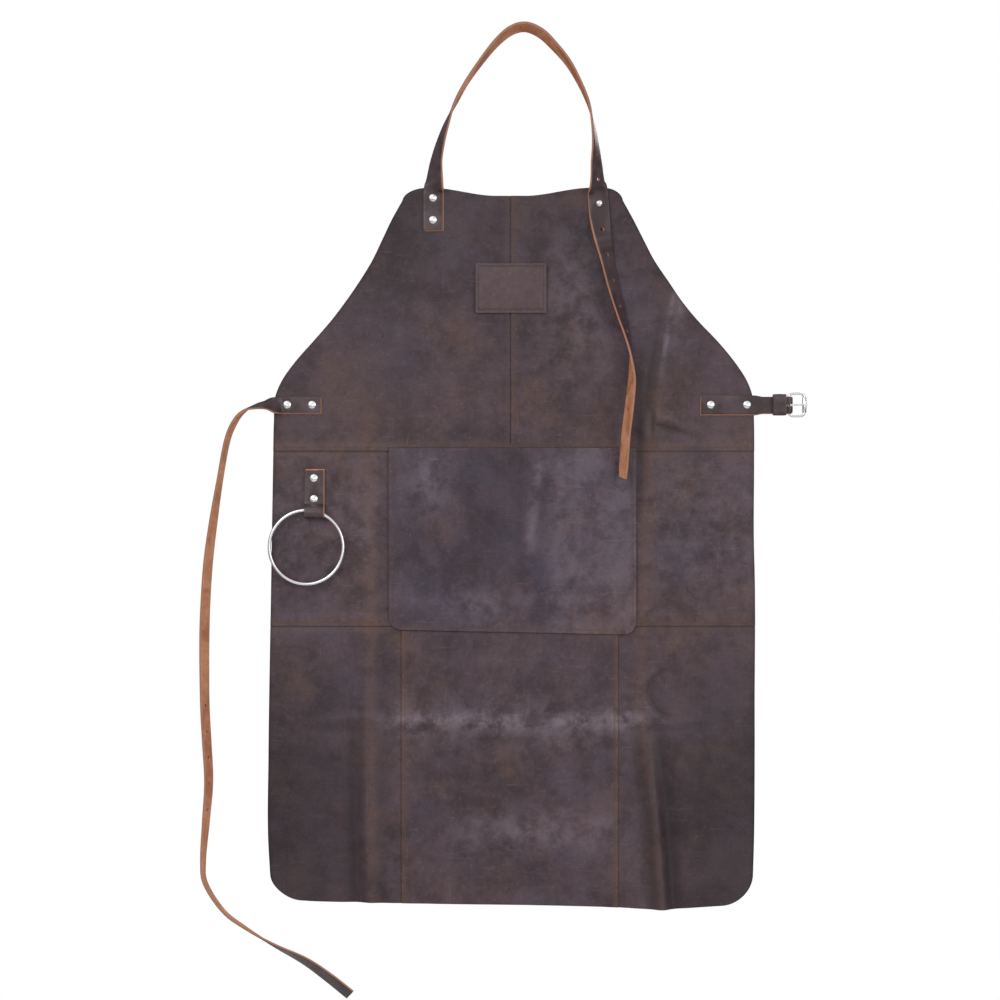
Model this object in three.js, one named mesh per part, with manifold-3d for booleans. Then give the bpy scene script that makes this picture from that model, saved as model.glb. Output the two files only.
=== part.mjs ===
// Leather welding apron, hanging from its neck strap. Millimetres, +Z up, front of the apron towards -Y.
// The origin is the underside of the neck strap at the top of its loop, where the apron hangs on the wearer's neck.
// Inside the apron group x = 0 is the middle of the apron, and z is measured from the origin.
import * as THREE from 'three';
import { mergeVertices } from 'three/addons/utils/BufferGeometryUtils.js';
import Module from 'manifold-3d';

const wasm = await Module();
wasm.setup();

// ---- Driving dimensions ----
const gap = 0.3;                  // clearance between touching pieces
const neckApexOffset = 16.5;      // the neck loop's top stands this far to the right of the apron's middle

// Apron blank: half widths, heights and leather
const leather = 2;                // thickness of the panels, the pocket and the label
const bibTopHalf = 120;           // half width of the top edge, up to its rounded corners
const bibTopZ = -203;             // height of the top edge at its corners
const bibTopDip = 10;             // the top edge is this much lower in its middle
const bibCornerWidth = 20;        // the top corner's size sideways
const bibCornerDrop = 17;         // and downwards
const waistHalf = 304;            // half width at the bottom of the armholes
const waistZ = -480;              // height at which the armhole ends in the straight side
const hemHalf = 309;              // half width at the hem
const hemZ = -1115;
const hemCorner = 40;             // radius of the hem's corners

// Seams between the panels: the upper panel laps over the lower one
const lap = 10;                   // width of the lap strip behind a seam
const lapRise = 2;                // width of the step that carries a lap strip to the back
const centreSeamX = -2.5;
const upperSeamZ = -537;
const lowerSeamZ = -759.5;
const skirtSeamLeftX = -141.5;
const skirtSeamRightX = 133.5;
const seamInset = 4;              // distance of the stitching from a seam's edge
const threadWidth = 0.8;
const threadThick = 0.6;

// Front pocket, open at the top
const pocketHalf = 157;
const pocketX = -0.5;
const pocketTopZ = -533.5;
const pocketHeight = 233.5;
const pocketCorner = 16;
const pocketMargin = 8;           // flat sewn margin
const pocketRoom = 6.2;           // depth of the space behind the pocket's front
const pocketStitchInset = 5;

// Label patch
const labelWidth = 90;
const labelHeight = 63;
const labelTopZ = -299;
const labelStitchInset = 4;
const labelCorner = 2;

// Straps
const strapThick = 3;
const neckWidth = 24;
const waistWidth = 20;
const neckHole = 2.6;             // radius of the adjusting holes
const neckHolePitch = 33.5;
const neckHolesAbove = 2;
const neckHolesBelow = 8;
const waistHole = 2;
const waistHolePitch = 33;
const waistHoles = 5;
const waistFirstHole = 330;       // distance of the first hole from the strap's free end

// Rivets and the stud
const postRadius = 1.6;
const postClearance = 0.4;
const capRadius = 4.8;
const capHeight = 1.7;
const dimpleRadius = 1.1;
const dimpleDepth = 0.4;
const backCapHeight = 1.8;
const socketDepth = 1.2;
const studHeadRadius = 4.7;
const studNeckRadius = 2.1;
const studHeadHeight = 4.2;
const studX = 109.5;
const studZ = -223;
const screwRadius = 1.2;

// Ring and its tab
const ringOuter = 48.9;
const ringWire = 2.2;
const ringShift = 9.5;            // the ring hangs this far to the left of its tab
const ringLift = 2.6;             // wire's top above the middle of the fold
const tabX = -252.5;
const tabTopZ = -561.7;
const tabWidth = 24;
const tabThick = 2.4;
const foldRadius = ringWire + 3; // inner radius of the fold that the ring hangs in
const foldZ = -615;               // height of the fold's middle

// Buckle, its strap and its keeper
const buckleZ = -478.5;
const buckleStrapStart = 239;
const buckleStrapWide = 24;
const buckleStrapNarrow = 20.5;
const barX = 350;
const barRadius = 1.8;
const frameLength = 20;           // bar to bar
const frameHalfHeight = 14.1;
const frameCorner = 4.5;
const rollerRadius = 2.7;
const rollerLength = 20;
const rollerClearance = 0.35;
const prongRadius = 1.1;
const prongSlotLength = 6.5;
const keeperStart = 330;
const keeperWide = 16.5;
const keeperWall = 2;
const keeperSide = 1.2;           // clearance between the keeper and the strap's edges
const keeperFrontRoom = 5.4;      // space in front of the strap, where the waist strap's end is tucked in
const keeperBackRoom = 1.2;

// ---- Materials ----
function material(color, roughness, metalness = 0) {
  return new THREE.MeshStandardMaterial({ color, roughness, metalness });
}
const panelLeather = material(0x463b3c, 0.55);
const strapLeather = material(0x4a3a38, 0.5);
const labelLeather = material(0x5a4746, 0.4);
const thread = material(0x5a4034, 0.8);
const steel = material(0xd8d6d2, 0.25, 1);

// ---- Solids ----
function toManifold(geometry) {
  const plain = geometry.clone();
  plain.deleteAttribute('normal');
  plain.deleteAttribute('uv');
  const merged = mergeVertices(plain, 1e-4);
  return new wasm.Manifold(new wasm.Mesh({
    numProp: 3,
    vertProperties: new Float32Array(merged.attributes.position.array),
    triVerts: new Uint32Array(merged.index.array),
  }));
}

function toGeometry(manifold) {
  const mesh = manifold.getMesh();
  const geometry = new THREE.BufferGeometry();
  geometry.setAttribute('position', new THREE.BufferAttribute(new Float32Array(mesh.vertProperties), 3));
  geometry.setIndex(new THREE.BufferAttribute(new Uint32Array(mesh.triVerts), 1));
  geometry.computeVertexNormals();
  return geometry;
}

function box(x0, x1, y0, y1, z0, z1) {
  const geometry = new THREE.BoxGeometry(2, 2, 2);
  const position = geometry.attributes.position;
  for (let i = 0; i < position.count; i += 1) {
    const x = position.getX(i) < 0 ? x0 : x1;
    const y = position.getY(i) < 0 ? y0 : y1;
    const z = position.getZ(i) < 0 ? z0 : z1;
    position.setXYZ(i, x, y, z);
  }
  return toManifold(geometry);
}

// A flat plate: the shape is drawn in x and z, and fills the depth from y = back to y = front.
function plate(shape, back, front) {
  const geometry = new THREE.ExtrudeGeometry(shape, { depth: 1, bevelEnabled: false, curveSegments: 8 });
  const position = geometry.attributes.position;
  for (let i = 0; i < position.count; i += 1) {
    position.setXYZ(i, position.getX(i), position.getZ(i) > 0 ? front : back, position.getY(i));
  }
  return toManifold(geometry);
}

function roundedRectangle(x0, x1, z0, z1, lowCorner, topCorner) {
  const shape = new THREE.Shape();
  shape.moveTo(x0 + lowCorner, z0);
  shape.lineTo(x1 - lowCorner, z0);
  shape.absarc(x1 - lowCorner, z0 + lowCorner, lowCorner, -Math.PI / 2, 0, false);
  shape.lineTo(x1, z1 - topCorner);
  if (topCorner > 0) shape.absarc(x1 - topCorner, z1 - topCorner, topCorner, 0, Math.PI / 2, false);
  shape.lineTo(x0 + topCorner, z1);
  if (topCorner > 0) shape.absarc(x0 + topCorner, z1 - topCorner, topCorner, Math.PI / 2, Math.PI, false);
  shape.lineTo(x0, z0 + lowCorner);
  shape.absarc(x0 + lowCorner, z0 + lowCorner, lowCorner, Math.PI, Math.PI * 1.5, false);
  return shape;
}

// A cylinder along Y, used for rivet holes.
function holeAlongY(x, z, radius, back, front) {
  const geometry = new THREE.CylinderGeometry(radius, radius, back - front, 12);
  geometry.translate(x, (back + front) / 2, z);
  return toManifold(geometry);
}

// A turned piece whose axis is Y: the profile holds [radius, distance in front of y = 0] pairs.
function turnedAlongY(profile, segments = 16) {
  const points = profile.map(([radius, ahead]) => new THREE.Vector2(radius, ahead));
  const geometry = new THREE.LatheGeometry(points, segments);
  geometry.rotateZ(Math.PI);
  return geometry;
}

// ---- Assembly ----
const apron = new THREE.Group();
apron.position.x = -neckApexOffset;

function addMesh(name, geometry, meshMaterial, parent = apron) {
  const mesh = new THREE.Mesh(geometry, meshMaterial);
  mesh.name = name;
  parent.add(mesh);
  return mesh;
}

// ---- Straps: a flat strip carried along a curve ----
const front = new THREE.Vector3(0, -1, 0);

// The strip's frame at t: across is its width, face its thickness, along its length.
function stripFrame(strip, t) {
  const centre = strip.curve.getPoint(t);
  const along = strip.curve.getTangent(t);
  const across = strip.acrossAt(t, along).normalize();
  const face = new THREE.Vector3().crossVectors(along, across).normalize();
  return { centre, along, across, face };
}

// Width direction of a strap that twists: at 90 degrees its grain side faces the front,
// at 0 it faces the left of its own direction, at -90 the back.
function twisting(turns) {
  const turnCurve = new THREE.CatmullRomCurve3(turns.map((turn) => new THREE.Vector3(turn, 0, 0)), false, 'catmullrom');
  return (t, along) => {
    const turn = THREE.MathUtils.degToRad(turnCurve.getPoint(t).x);
    const left = new THREE.Vector3().crossVectors(front, along).normalize();
    const ahead = new THREE.Vector3().crossVectors(along, left).normalize();
    const face = left.multiplyScalar(Math.cos(turn)).addScaledVector(ahead, Math.sin(turn));
    return face.cross(along);
  };
}

function makeStrip(points, acrossAt, widthAt, thickness, steps) {
  const curve = new THREE.CatmullRomCurve3(points.map(([x, y, z]) => new THREE.Vector3(x, y, z)), false, 'catmullrom');
  return { curve, acrossAt, widthAt, thickness, steps };
}

function stripSolid(strip) {
  const geometry = new THREE.BoxGeometry(1, 1, 1, 1, 1, strip.steps);
  const position = geometry.attributes.position;
  for (let i = 0; i < position.count; i += 1) {
    const t = position.getZ(i) + 0.5;
    const frame = stripFrame(strip, t);
    const point = frame.centre.clone();
    point.addScaledVector(frame.across, position.getX(i) * strip.widthAt(frame.centre));
    point.addScaledVector(frame.face, position.getY(i) * strip.thickness);
    position.setXYZ(i, point.x, point.y, point.z);
  }
  return toManifold(geometry);
}

// A round hole through a strip, at the distance u (0 to 1) along it.
function stripHole(strip, u, radius) {
  const frame = stripFrame(strip, strip.curve.getUtoTmapping(u));
  const geometry = new THREE.CylinderGeometry(radius, radius, 3 * strip.thickness, 10);
  const turn = new THREE.Matrix4().makeBasis(frame.across, frame.face, frame.along);
  geometry.applyMatrix4(turn);
  geometry.translate(frame.centre.x, frame.centre.y, frame.centre.z);
  return toManifold(geometry);
}

// How far along a strip, from 0 to 1, its curve passes nearest to a point.
function nearestAlong(strip, x, z) {
  const samples = 2000;
  const spaced = strip.curve.getSpacedPoints(samples);
  const distances = spaced.map((point) => Math.hypot(point.x - x, point.z - z));
  return distances.indexOf(Math.min(...distances)) / samples;
}

// ---- Panels ----
const faceY = -leather;                 // front face of the panels
const onFaceY = faceY - gap;            // back face of whatever lies on them
const lapBackY = gap + leather;
const postHole = postRadius + postClearance;

// The armhole is a curve from the top corner to the waist corner, which is itself a short curve.
const cornerEase = 6;                   // how far the top corner's curve is pulled in from its square corner
const cornerEaseDrop = 2;
const waistCornerWidth = 21;            // the waist corner's size sideways
const waistCornerHeight = 50;           // and upwards
const waistEase = 3;
const armholeTopPull = { across: 28, down: 64 };   // handle of the curve at the top corner
const armholeLowPull = { across: 53, up: 54 };     // handle at the waist corner

function apronOutline() {
  const shape = new THREE.Shape();
  const cornerX = bibTopHalf + bibCornerWidth;
  const cornerZ = bibTopZ - bibCornerDrop;
  const sleeveX = waistHalf - waistCornerWidth;
  const sleeveZ = waistZ + waistCornerHeight;
  const topHandle = { x: cornerX + armholeTopPull.across, z: cornerZ - armholeTopPull.down };
  const lowHandle = { x: sleeveX - armholeLowPull.across, z: sleeveZ + armholeLowPull.up };
  shape.moveTo(-bibTopHalf, bibTopZ);
  shape.quadraticCurveTo(0, bibTopZ - 2 * bibTopDip, bibTopHalf, bibTopZ);
  shape.quadraticCurveTo(cornerX - cornerEase, bibTopZ - cornerEaseDrop, cornerX, cornerZ);
  shape.bezierCurveTo(topHandle.x, topHandle.z, lowHandle.x, lowHandle.z, sleeveX, sleeveZ);
  shape.quadraticCurveTo(waistHalf - waistEase, waistZ + waistCornerHeight / 2, waistHalf, waistZ);
  shape.lineTo(hemHalf, hemZ + hemCorner);
  shape.absarc(hemHalf - hemCorner, hemZ + hemCorner, hemCorner, 0, -Math.PI / 2, true);
  shape.lineTo(-hemHalf + hemCorner, hemZ);
  shape.absarc(-hemHalf + hemCorner, hemZ + hemCorner, hemCorner, -Math.PI / 2, -Math.PI, true);
  shape.lineTo(-waistHalf, waistZ);
  shape.quadraticCurveTo(-waistHalf + waistEase, waistZ + waistCornerHeight / 2, -sleeveX, sleeveZ);
  shape.bezierCurveTo(-lowHandle.x, lowHandle.z, -topHandle.x, topHandle.z, -cornerX, cornerZ);
  shape.quadraticCurveTo(-cornerX + cornerEase, bibTopZ - cornerEaseDrop, -bibTopHalf, bibTopZ);
  return shape;
}

const blank = plate(apronOutline(), 2 * lapBackY, 2 * faceY);
const far = 1000;                       // beyond the blank on every side
const half = gap / 2;

// A panel's flat part, cut to the blank's outline.
function panelPart(x0, x1, z0, z1) {
  return box(x0, x1, faceY, 0, z0, z1);
}

// A lap strip behind the neighbour, with the step that joins it to its own panel.
function lapUp(x0, x1, seamZ) {
  const strip = box(x0, x1, gap, lapBackY, seamZ - lapRise, seamZ + lap);
  return strip.add(box(x0, x1, faceY, lapBackY, seamZ - half - lapRise, seamZ - half));
}

function lapSideways(seamX, side, z0, z1) {
  const edge = seamX - side * half;
  const root = edge - side * lapRise;
  const end = seamX + side * lap;
  const strip = box(Math.min(root, end), Math.max(root, end), gap, lapBackY, z0, z1);
  return strip.add(box(Math.min(root, edge), Math.max(root, edge), faceY, lapBackY, z0, z1));
}

const lapEnd = lap + 1;                 // a vertical lap stops this far above or below a crossing seam's edge
const panels = {
  bib_left_panel: panelPart(-far, centreSeamX - half, upperSeamZ + half, 0)
    .add(lapSideways(centreSeamX, 1, upperSeamZ + lapEnd, 0)),
  bib_right_panel: panelPart(centreSeamX + half, far, upperSeamZ + half, 0),
  waist_panel: panelPart(-far, far, lowerSeamZ + half, upperSeamZ - half)
    .add(lapUp(-far, far, upperSeamZ)),
  skirt_left_panel: panelPart(-far, skirtSeamLeftX - half, hemZ - 1, lowerSeamZ - half)
    .add(lapUp(-far, skirtSeamLeftX - half, lowerSeamZ))
    .add(lapSideways(skirtSeamLeftX, 1, hemZ - 1, lowerSeamZ - lapEnd)),
  skirt_centre_panel: panelPart(skirtSeamLeftX + half, skirtSeamRightX - half, hemZ - 1, lowerSeamZ - half)
    .add(lapUp(skirtSeamLeftX + half, skirtSeamRightX - half, lowerSeamZ)),
  skirt_right_panel: panelPart(skirtSeamRightX + half, far, hemZ - 1, lowerSeamZ - half)
    .add(lapUp(skirtSeamRightX + half, far, lowerSeamZ))
    .add(lapSideways(skirtSeamRightX, -1, hemZ - 1, lowerSeamZ - lapEnd)),
};

// ---- Rivet places: x, z, the panel that is pierced, and the front and back of the stack ----
const strapFrontY = onFaceY - strapThick;
const tabFrontY = onFaceY - 2 * tabThick - gap;
const buckleStrapBackY = gap + strapThick;
const rivets = [
  { name: 'neck_rivet_upper', x: -101.5, z: -216, panel: 'bib_left_panel', frontY: strapFrontY, backY: 0 },
  { name: 'neck_rivet_lower', x: -101.5, z: -244, panel: 'bib_left_panel', frontY: strapFrontY, backY: 0 },
  { name: 'waist_rivet_outer', x: -286.5, z: buckleZ, panel: 'bib_left_panel', frontY: strapFrontY, backY: 0 },
  { name: 'waist_rivet_inner', x: -255, z: buckleZ, panel: 'bib_left_panel', frontY: strapFrontY, backY: 0 },
  { name: 'tab_rivet_upper', x: tabX, z: -571.5, panel: 'waist_panel', frontY: tabFrontY, backY: 0 },
  { name: 'tab_rivet_lower', x: tabX, z: -598, panel: 'waist_panel', frontY: tabFrontY, backY: 0 },
  { name: 'buckle_rivet_inner', x: 251, z: buckleZ, panel: 'bib_right_panel', frontY: strapFrontY,
    backY: buckleStrapBackY },
  { name: 'buckle_rivet_outer', x: 297, z: buckleZ, panel: 'bib_right_panel', frontY: strapFrontY,
    backY: buckleStrapBackY },
];

function rivetHoles(nameStart) {
  const chosen = rivets.filter((rivet) => rivet.name.startsWith(nameStart));
  return chosen.map((rivet) => holeAlongY(rivet.x, rivet.z, postHole, 20, -20));
}

function cutHoles(solid, holes) {
  return holes.reduce((rest, hole) => rest.subtract(hole), solid);
}

for (const [name, solid] of Object.entries(panels)) {
  const pierced = rivets.filter((rivet) => rivet.panel === name);
  const holes = pierced.map((rivet) => holeAlongY(rivet.x, rivet.z, postHole, 20, -20));
  if (name === 'bib_right_panel') holes.push(holeAlongY(studX, studZ, studNeckRadius + postClearance, 20, -20));
  addMesh(name, toGeometry(cutHoles(solid.intersect(blank), holes)), panelLeather);
}

// ---- Front pocket and label ----
const pocketLeft = pocketX - pocketHalf;
const pocketRight = pocketX + pocketHalf;
const pocketBottomZ = pocketTopZ - pocketHeight;

function pocketPlate(inset, top, back, frontSide) {
  const corner = Math.max(pocketCorner - inset, 3);
  const shape = roundedRectangle(pocketLeft + inset, pocketRight - inset, pocketBottomZ + inset, top, corner, 0);
  return plate(shape, back, frontSide);
}

const pocketFaceY = onFaceY - leather;
const pocketFrontY = onFaceY - pocketRoom - leather;
const pocketBody = pocketPlate(0, pocketTopZ, onFaceY, pocketFaceY)
  .add(pocketPlate(pocketMargin, pocketTopZ, onFaceY, pocketFrontY))
  .subtract(pocketPlate(pocketMargin + leather, pocketTopZ + 5, onFaceY + 1, pocketFrontY + leather));
addMesh('front_pocket', toGeometry(pocketBody), panelLeather);

const labelX = centreSeamX;
const labelBackY = onFaceY - threadThick - gap;
const labelFrontY = labelBackY - leather;

function labelPlate(inset, back, frontSide) {
  const x0 = labelX - labelWidth / 2 + inset;
  const x1 = labelX + labelWidth / 2 - inset;
  const z0 = labelTopZ - labelHeight + inset;
  return plate(roundedRectangle(x0, x1, z0, labelTopZ - inset, labelCorner, labelCorner), back, frontSide);
}
addMesh('label_patch', toGeometry(labelPlate(0, labelBackY, labelFrontY)), labelLeather);

// ---- Stitching: one thin strip of thread along each seam ----
function seamThread(name, x0, x1, z0, z1) {
  addMesh(name, toGeometry(box(x0, x1, onFaceY - threadThick, onFaceY, z0, z1)), thread);
}
const seamSide = 5;                     // seam threads stop this far inside the apron's edges
const threadTopZ = bibTopZ - bibTopDip - seamSide;
const centreThreadX = centreSeamX + seamInset;
const upperThreadZ = upperSeamZ + seamInset + 1;
const lowerThreadZ = lowerSeamZ + seamInset;
const leftThreadX = skirtSeamLeftX + seamInset;
const rightThreadX = skirtSeamRightX - seamInset;
seamThread('bib_seam_thread', centreThreadX, centreThreadX + threadWidth, upperThreadZ + 3, threadTopZ);
seamThread('upper_seam_thread', -waistHalf + seamSide, waistHalf - seamSide, upperThreadZ, upperThreadZ + threadWidth);
seamThread('lower_left_seam_thread', -waistHalf + seamSide, pocketLeft - 2, lowerThreadZ, lowerThreadZ + threadWidth);
seamThread('lower_right_seam_thread', pocketRight + 2, waistHalf - seamSide, lowerThreadZ, lowerThreadZ + threadWidth);
seamThread('skirt_left_seam_thread', leftThreadX, leftThreadX + threadWidth, hemZ + seamSide, pocketBottomZ - 2);
seamThread('skirt_right_seam_thread', rightThreadX, rightThreadX + threadWidth, hemZ + seamSide, pocketBottomZ - 2);

const pocketThreadY = pocketFaceY - gap;
const pocketThread = pocketPlate(pocketStitchInset, pocketTopZ - 1, pocketThreadY, pocketThreadY - threadThick)
  .subtract(pocketPlate(pocketStitchInset + threadWidth, pocketTopZ + 5, pocketThreadY + 1, pocketThreadY - 2));
addMesh('pocket_thread', toGeometry(pocketThread), thread);

const labelThreadY = labelFrontY - gap;
const labelThread = labelPlate(labelStitchInset, labelThreadY, labelThreadY - threadThick)
  .subtract(labelPlate(labelStitchInset + threadWidth, labelThreadY + 1, labelThreadY - 2));
addMesh('label_thread', toGeometry(labelThread), thread);

// ---- Neck strap: riveted at the left, over the neck, buttoned on the stud, free end in front of the bib ----
const strapY = onFaceY - strapThick / 2;
const neckStrapBottomZ = -256.5;
const twistSpare = 0.8;                 // extra room between the bib and a turned strap

// The middle of the strap stands this far forward so that a strap turned by this angle clears what it lies on.
function clearOf(surfaceY, turn) {
  const angle = THREE.MathUtils.degToRad(turn);
  const reach = Math.abs(Math.cos(angle)) * neckWidth / 2 + Math.abs(Math.sin(angle)) * strapThick / 2;
  return surfaceY - reach - twistSpare * Math.abs(Math.cos(angle));
}
const overPocketY = pocketFrontY - gap;
const neckPoints = [
  // x, y, z, turn of the grain side
  [-101.5, strapY, neckStrapBottomZ, 90],
  [-101.5, strapY, -236, 90],
  [-101.5, strapY - 0.12, -219, 90],
  [-101.4, strapY - 0.55, -208.5, 89],
  [-100.3, -10.5, -197, 58],
  [-97.8, -4.5, -171.5, 36],
  [-92, -3.5, -146, 24],
  [-83.8, -3, -120.6, 13],
  [-73, -2.5, -95, -3],
  [-59.5, -2, -70, -5],
  [-42, -1, -44.5, -8],
  [-21.6, 0, -19, -13],
  [-2.5, 0, -3, -18],
  [16.5, 0, strapThick / 2, -20],
  [35.6, 0, -6.5, -20],
  [52, 0, -22, -17],
  [70, -1, -43.5, -12],
  [85, -1.5, -70, -6.5],
  [96, -2, -96, -2],
  [101.8, -2.5, -122, 8],
  [104.8, -3.5, -146, 17],
  [106.2, -6, -171.5, 32],
  [107.5, -14, -197, 46],
  [studX - 1, strapY - 1.2, -211, 88],
  [studX, strapY - 0.12, studZ, 90],
  [studX + 0.7, strapY - 1.2, -235, 86],
  [113.2, clearOf(onFaceY, 66), -258, 66],
  [119.4, clearOf(onFaceY, 42), -293, 42],
  [127, clearOf(onFaceY, 36), -326, 36],
  [135.6, clearOf(onFaceY, 29), -358, 29],
  [144.5, clearOf(onFaceY, 15), -391, 15],
  [149, clearOf(onFaceY, 2), -415, 2],
  [150.7, clearOf(onFaceY, -16), -446, -16],
  [147.5, clearOf(onFaceY - 5, -21), -480, -21],
  [143.5, clearOf(overPocketY, -21), -512, -21],
  [141, clearOf(overPocketY, -21), -542, -21],
  [139, clearOf(overPocketY, -21), -573, -21],
];
const neckStrip = makeStrip(neckPoints.map(([x, y, z]) => [x, y, z]), twisting(neckPoints.map((p) => p[3])),
  () => neckWidth, strapThick, 116);
const neckStudPlace = nearestAlong(neckStrip, studX, studZ);
const neckPitchShare = neckHolePitch / neckStrip.curve.getLength();
const neckHoles = [];
for (let k = -neckHolesAbove; k <= neckHolesBelow; k += 1) {
  if (k !== 0) neckHoles.push(stripHole(neckStrip, neckStudPlace + k * neckPitchShare, neckHole));
}
neckHoles.push(holeAlongY(studX, studZ, neckHole, 1, -20));
const neckBody = cutHoles(stripSolid(neckStrip), neckHoles.concat(rivetHoles('neck_rivet')));
addMesh('neck_strap', toGeometry(neckBody), strapLeather);

// ---- Waist strap: riveted at the left of the waist, hanging free ----
const besideY = strapY - 2;             // the strap hangs this far forward
const bodyHeight = waistZ - hemZ;
function downSide(share) {
  return waistZ - share * bodyHeight;
}
const waistPoints = [
  [-244.5, strapY, buckleZ, 90],
  [-270, strapY, buckleZ, 90],
  [-281, strapY - 0.1, buckleZ, 90],
  [-293, strapY - 0.6, buckleZ, 91],
  [-302, strapY - 6, buckleZ, 110],
  [-313, strapY - 8, buckleZ, 147],
  [-326, strapY - 4.5, -480.5, 165],
  [-340, besideY, -486, 181],
  [-352, besideY, downSide(0.03), 191],
  [-362.6, besideY, downSide(0.07), 192],
  [-372, besideY, downSide(0.15), 193],
  [-380, besideY, downSide(0.23), 201],
  [-386.5, besideY, downSide(0.31), 206],
  [-390, besideY, downSide(0.39), 207],
  [-391.5, besideY, downSide(0.47), 208],
  [-391, besideY, downSide(0.59), 205],
  [-388.5, besideY, downSide(0.67), 205],
  [-386, besideY, downSide(0.75), 203],
  [-389.5, besideY, downSide(0.83), 198],
  [-393, besideY, downSide(0.907), 190],
  [-390, besideY, downSide(0.954), 185],
  [-367, besideY, hemZ - 6, 181],
  [-338, besideY, hemZ - 28, 177],
  [-303, besideY, hemZ - 49, 166],
  [-264, besideY, hemZ - 69, 148],
  [-234, besideY, hemZ - 90, 140],
  [-206.5, besideY, hemZ - 112, 138],
];
const waistStrip = makeStrip(waistPoints.map(([x, y, z]) => [x, y, z]), twisting(waistPoints.map((p) => p[3])),
  () => waistWidth, strapThick, 96);
const waistLength = waistStrip.curve.getLength();
const waistStrapHoles = [];
for (let k = 0; k < waistHoles; k += 1) {
  const fromEnd = waistFirstHole + k * waistHolePitch;
  waistStrapHoles.push(stripHole(waistStrip, 1 - fromEnd / waistLength, waistHole));
}
const waistBody = cutHoles(stripSolid(waistStrip), waistStrapHoles.concat(rivetHoles('waist_rivet')));
addMesh('waist_strap', toGeometry(waistBody), strapLeather);

// ---- Ring and the folded tab that holds it ----
const foldCentreY = onFaceY - foldRadius - tabThick;
const foldMiddle = foldRadius + tabThick / 2;
const tabBackLayerY = onFaceY - tabThick / 2;
const tabFrontLayerY = tabBackLayerY - tabThick - gap;
const tabLayersMeetUp = 13;             // the two layers lie flat together from here up
const tabBulge = { in: 2.2, up: 5.5 };  // points of the curve by which the front layer comes in over the ring
const tabNeck = { out: 1.2, up: 9 };
const tabMiddleZ = tabTopZ - 20;
const tabPoints = [
  [tabX, tabBackLayerY, tabTopZ],
  [tabX, tabBackLayerY, tabMiddleZ],
  [tabX, tabBackLayerY, foldZ + tabLayersMeetUp],
  [tabX, tabBackLayerY, foldZ],
  [tabX, foldCentreY + foldMiddle * Math.SQRT1_2, foldZ - foldMiddle * Math.SQRT1_2],
  [tabX, foldCentreY, foldZ - foldMiddle],
  [tabX, foldCentreY - foldMiddle * Math.SQRT1_2, foldZ - foldMiddle * Math.SQRT1_2],
  [tabX, foldCentreY - foldMiddle, foldZ],
  [tabX, foldCentreY - foldMiddle + tabBulge.in, foldZ + tabBulge.up],
  [tabX, tabFrontLayerY - tabNeck.out, foldZ + tabNeck.up],
  [tabX, tabFrontLayerY, foldZ + tabLayersMeetUp],
  [tabX, tabFrontLayerY, tabMiddleZ],
  [tabX, tabFrontLayerY, tabTopZ],
];
const sideways = new THREE.Vector3(1, 0, 0);
const tabStrip = makeStrip(tabPoints, () => sideways.clone(), () => tabWidth, tabThick, 40);
addMesh('ring_tab', toGeometry(cutHoles(stripSolid(tabStrip), rivetHoles('tab_rivet'))), strapLeather);

const ringRadius = ringOuter - ringWire;
const ringPivot = new THREE.Group();
ringPivot.position.set(tabX, foldCentreY, foldZ);
apron.add(ringPivot);
const ringGeometry = new THREE.TorusGeometry(ringRadius, ringWire, 10, 56);
ringGeometry.rotateX(Math.PI / 2);
const ring = addMesh('ring', ringGeometry, steel, ringPivot);
ring.position.set(-ringShift, 0, ringLift - ringRadius);

// ---- Buckle strap, folded round the buckle's bar, and its keeper ----
const layerY = onFaceY - strapThick / 2;
const backLayerY = gap + strapThick / 2;
const barY = (layerY + backLayerY) / 2;
const barFold = barRadius + gap + strapThick / 2;
const nearBar = 12;                     // the layers start to open this far before the bar
const byBar = 3;                        // and are fully open this far before it
const openEase = 0.25;
const layersStayFlat = 40;              // a point on each layer this far along holds it flat
const buckleStrapPoints = [
  [buckleStrapStart, layerY, buckleZ],
  [buckleStrapStart + layersStayFlat, layerY, buckleZ],
  [barX - nearBar, layerY, buckleZ],
  [barX - byBar, barY - barFold + openEase, buckleZ],
  [barX, barY - barFold, buckleZ],
  [barX + barFold * Math.SQRT1_2, barY - barFold * Math.SQRT1_2, buckleZ],
  [barX + barFold, barY, buckleZ],
  [barX + barFold * Math.SQRT1_2, barY + barFold * Math.SQRT1_2, buckleZ],
  [barX, barY + barFold, buckleZ],
  [barX - byBar, barY + barFold - openEase, buckleZ],
  [barX - nearBar, backLayerY, buckleZ],
  [buckleStrapStart + layersStayFlat, backLayerY, buckleZ],
  [buckleStrapStart, backLayerY, buckleZ],
];
const narrowFrom = waistHalf + 2;
const narrowTo = narrowFrom + 12;
function buckleStrapWidth(centre) {
  const share = THREE.MathUtils.clamp((centre.x - narrowFrom) / (narrowTo - narrowFrom), 0, 1);
  return THREE.MathUtils.lerp(buckleStrapWide, buckleStrapNarrow, share);
}
const upright = new THREE.Vector3(0, 0, 1);
const buckleStrip = makeStrip(buckleStrapPoints, () => upright.clone(), buckleStrapWidth, strapThick, 56);
const slotHalf = prongRadius + postClearance;
const prongSlot = box(barX - prongSlotLength, barX + 20, -20, 20, buckleZ - slotHalf, buckleZ + slotHalf);
const buckleStrapBody = cutHoles(stripSolid(buckleStrip), rivetHoles('buckle_rivet').concat([prongSlot]));
addMesh('buckle_strap', toGeometry(buckleStrapBody), strapLeather);

const keeperHalfHeight = buckleStrapNarrow / 2 + keeperSide;
const keeperInFrontY = strapFrontY - keeperFrontRoom;
const keeperInBackY = buckleStrapBackY + keeperBackRoom;

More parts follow.
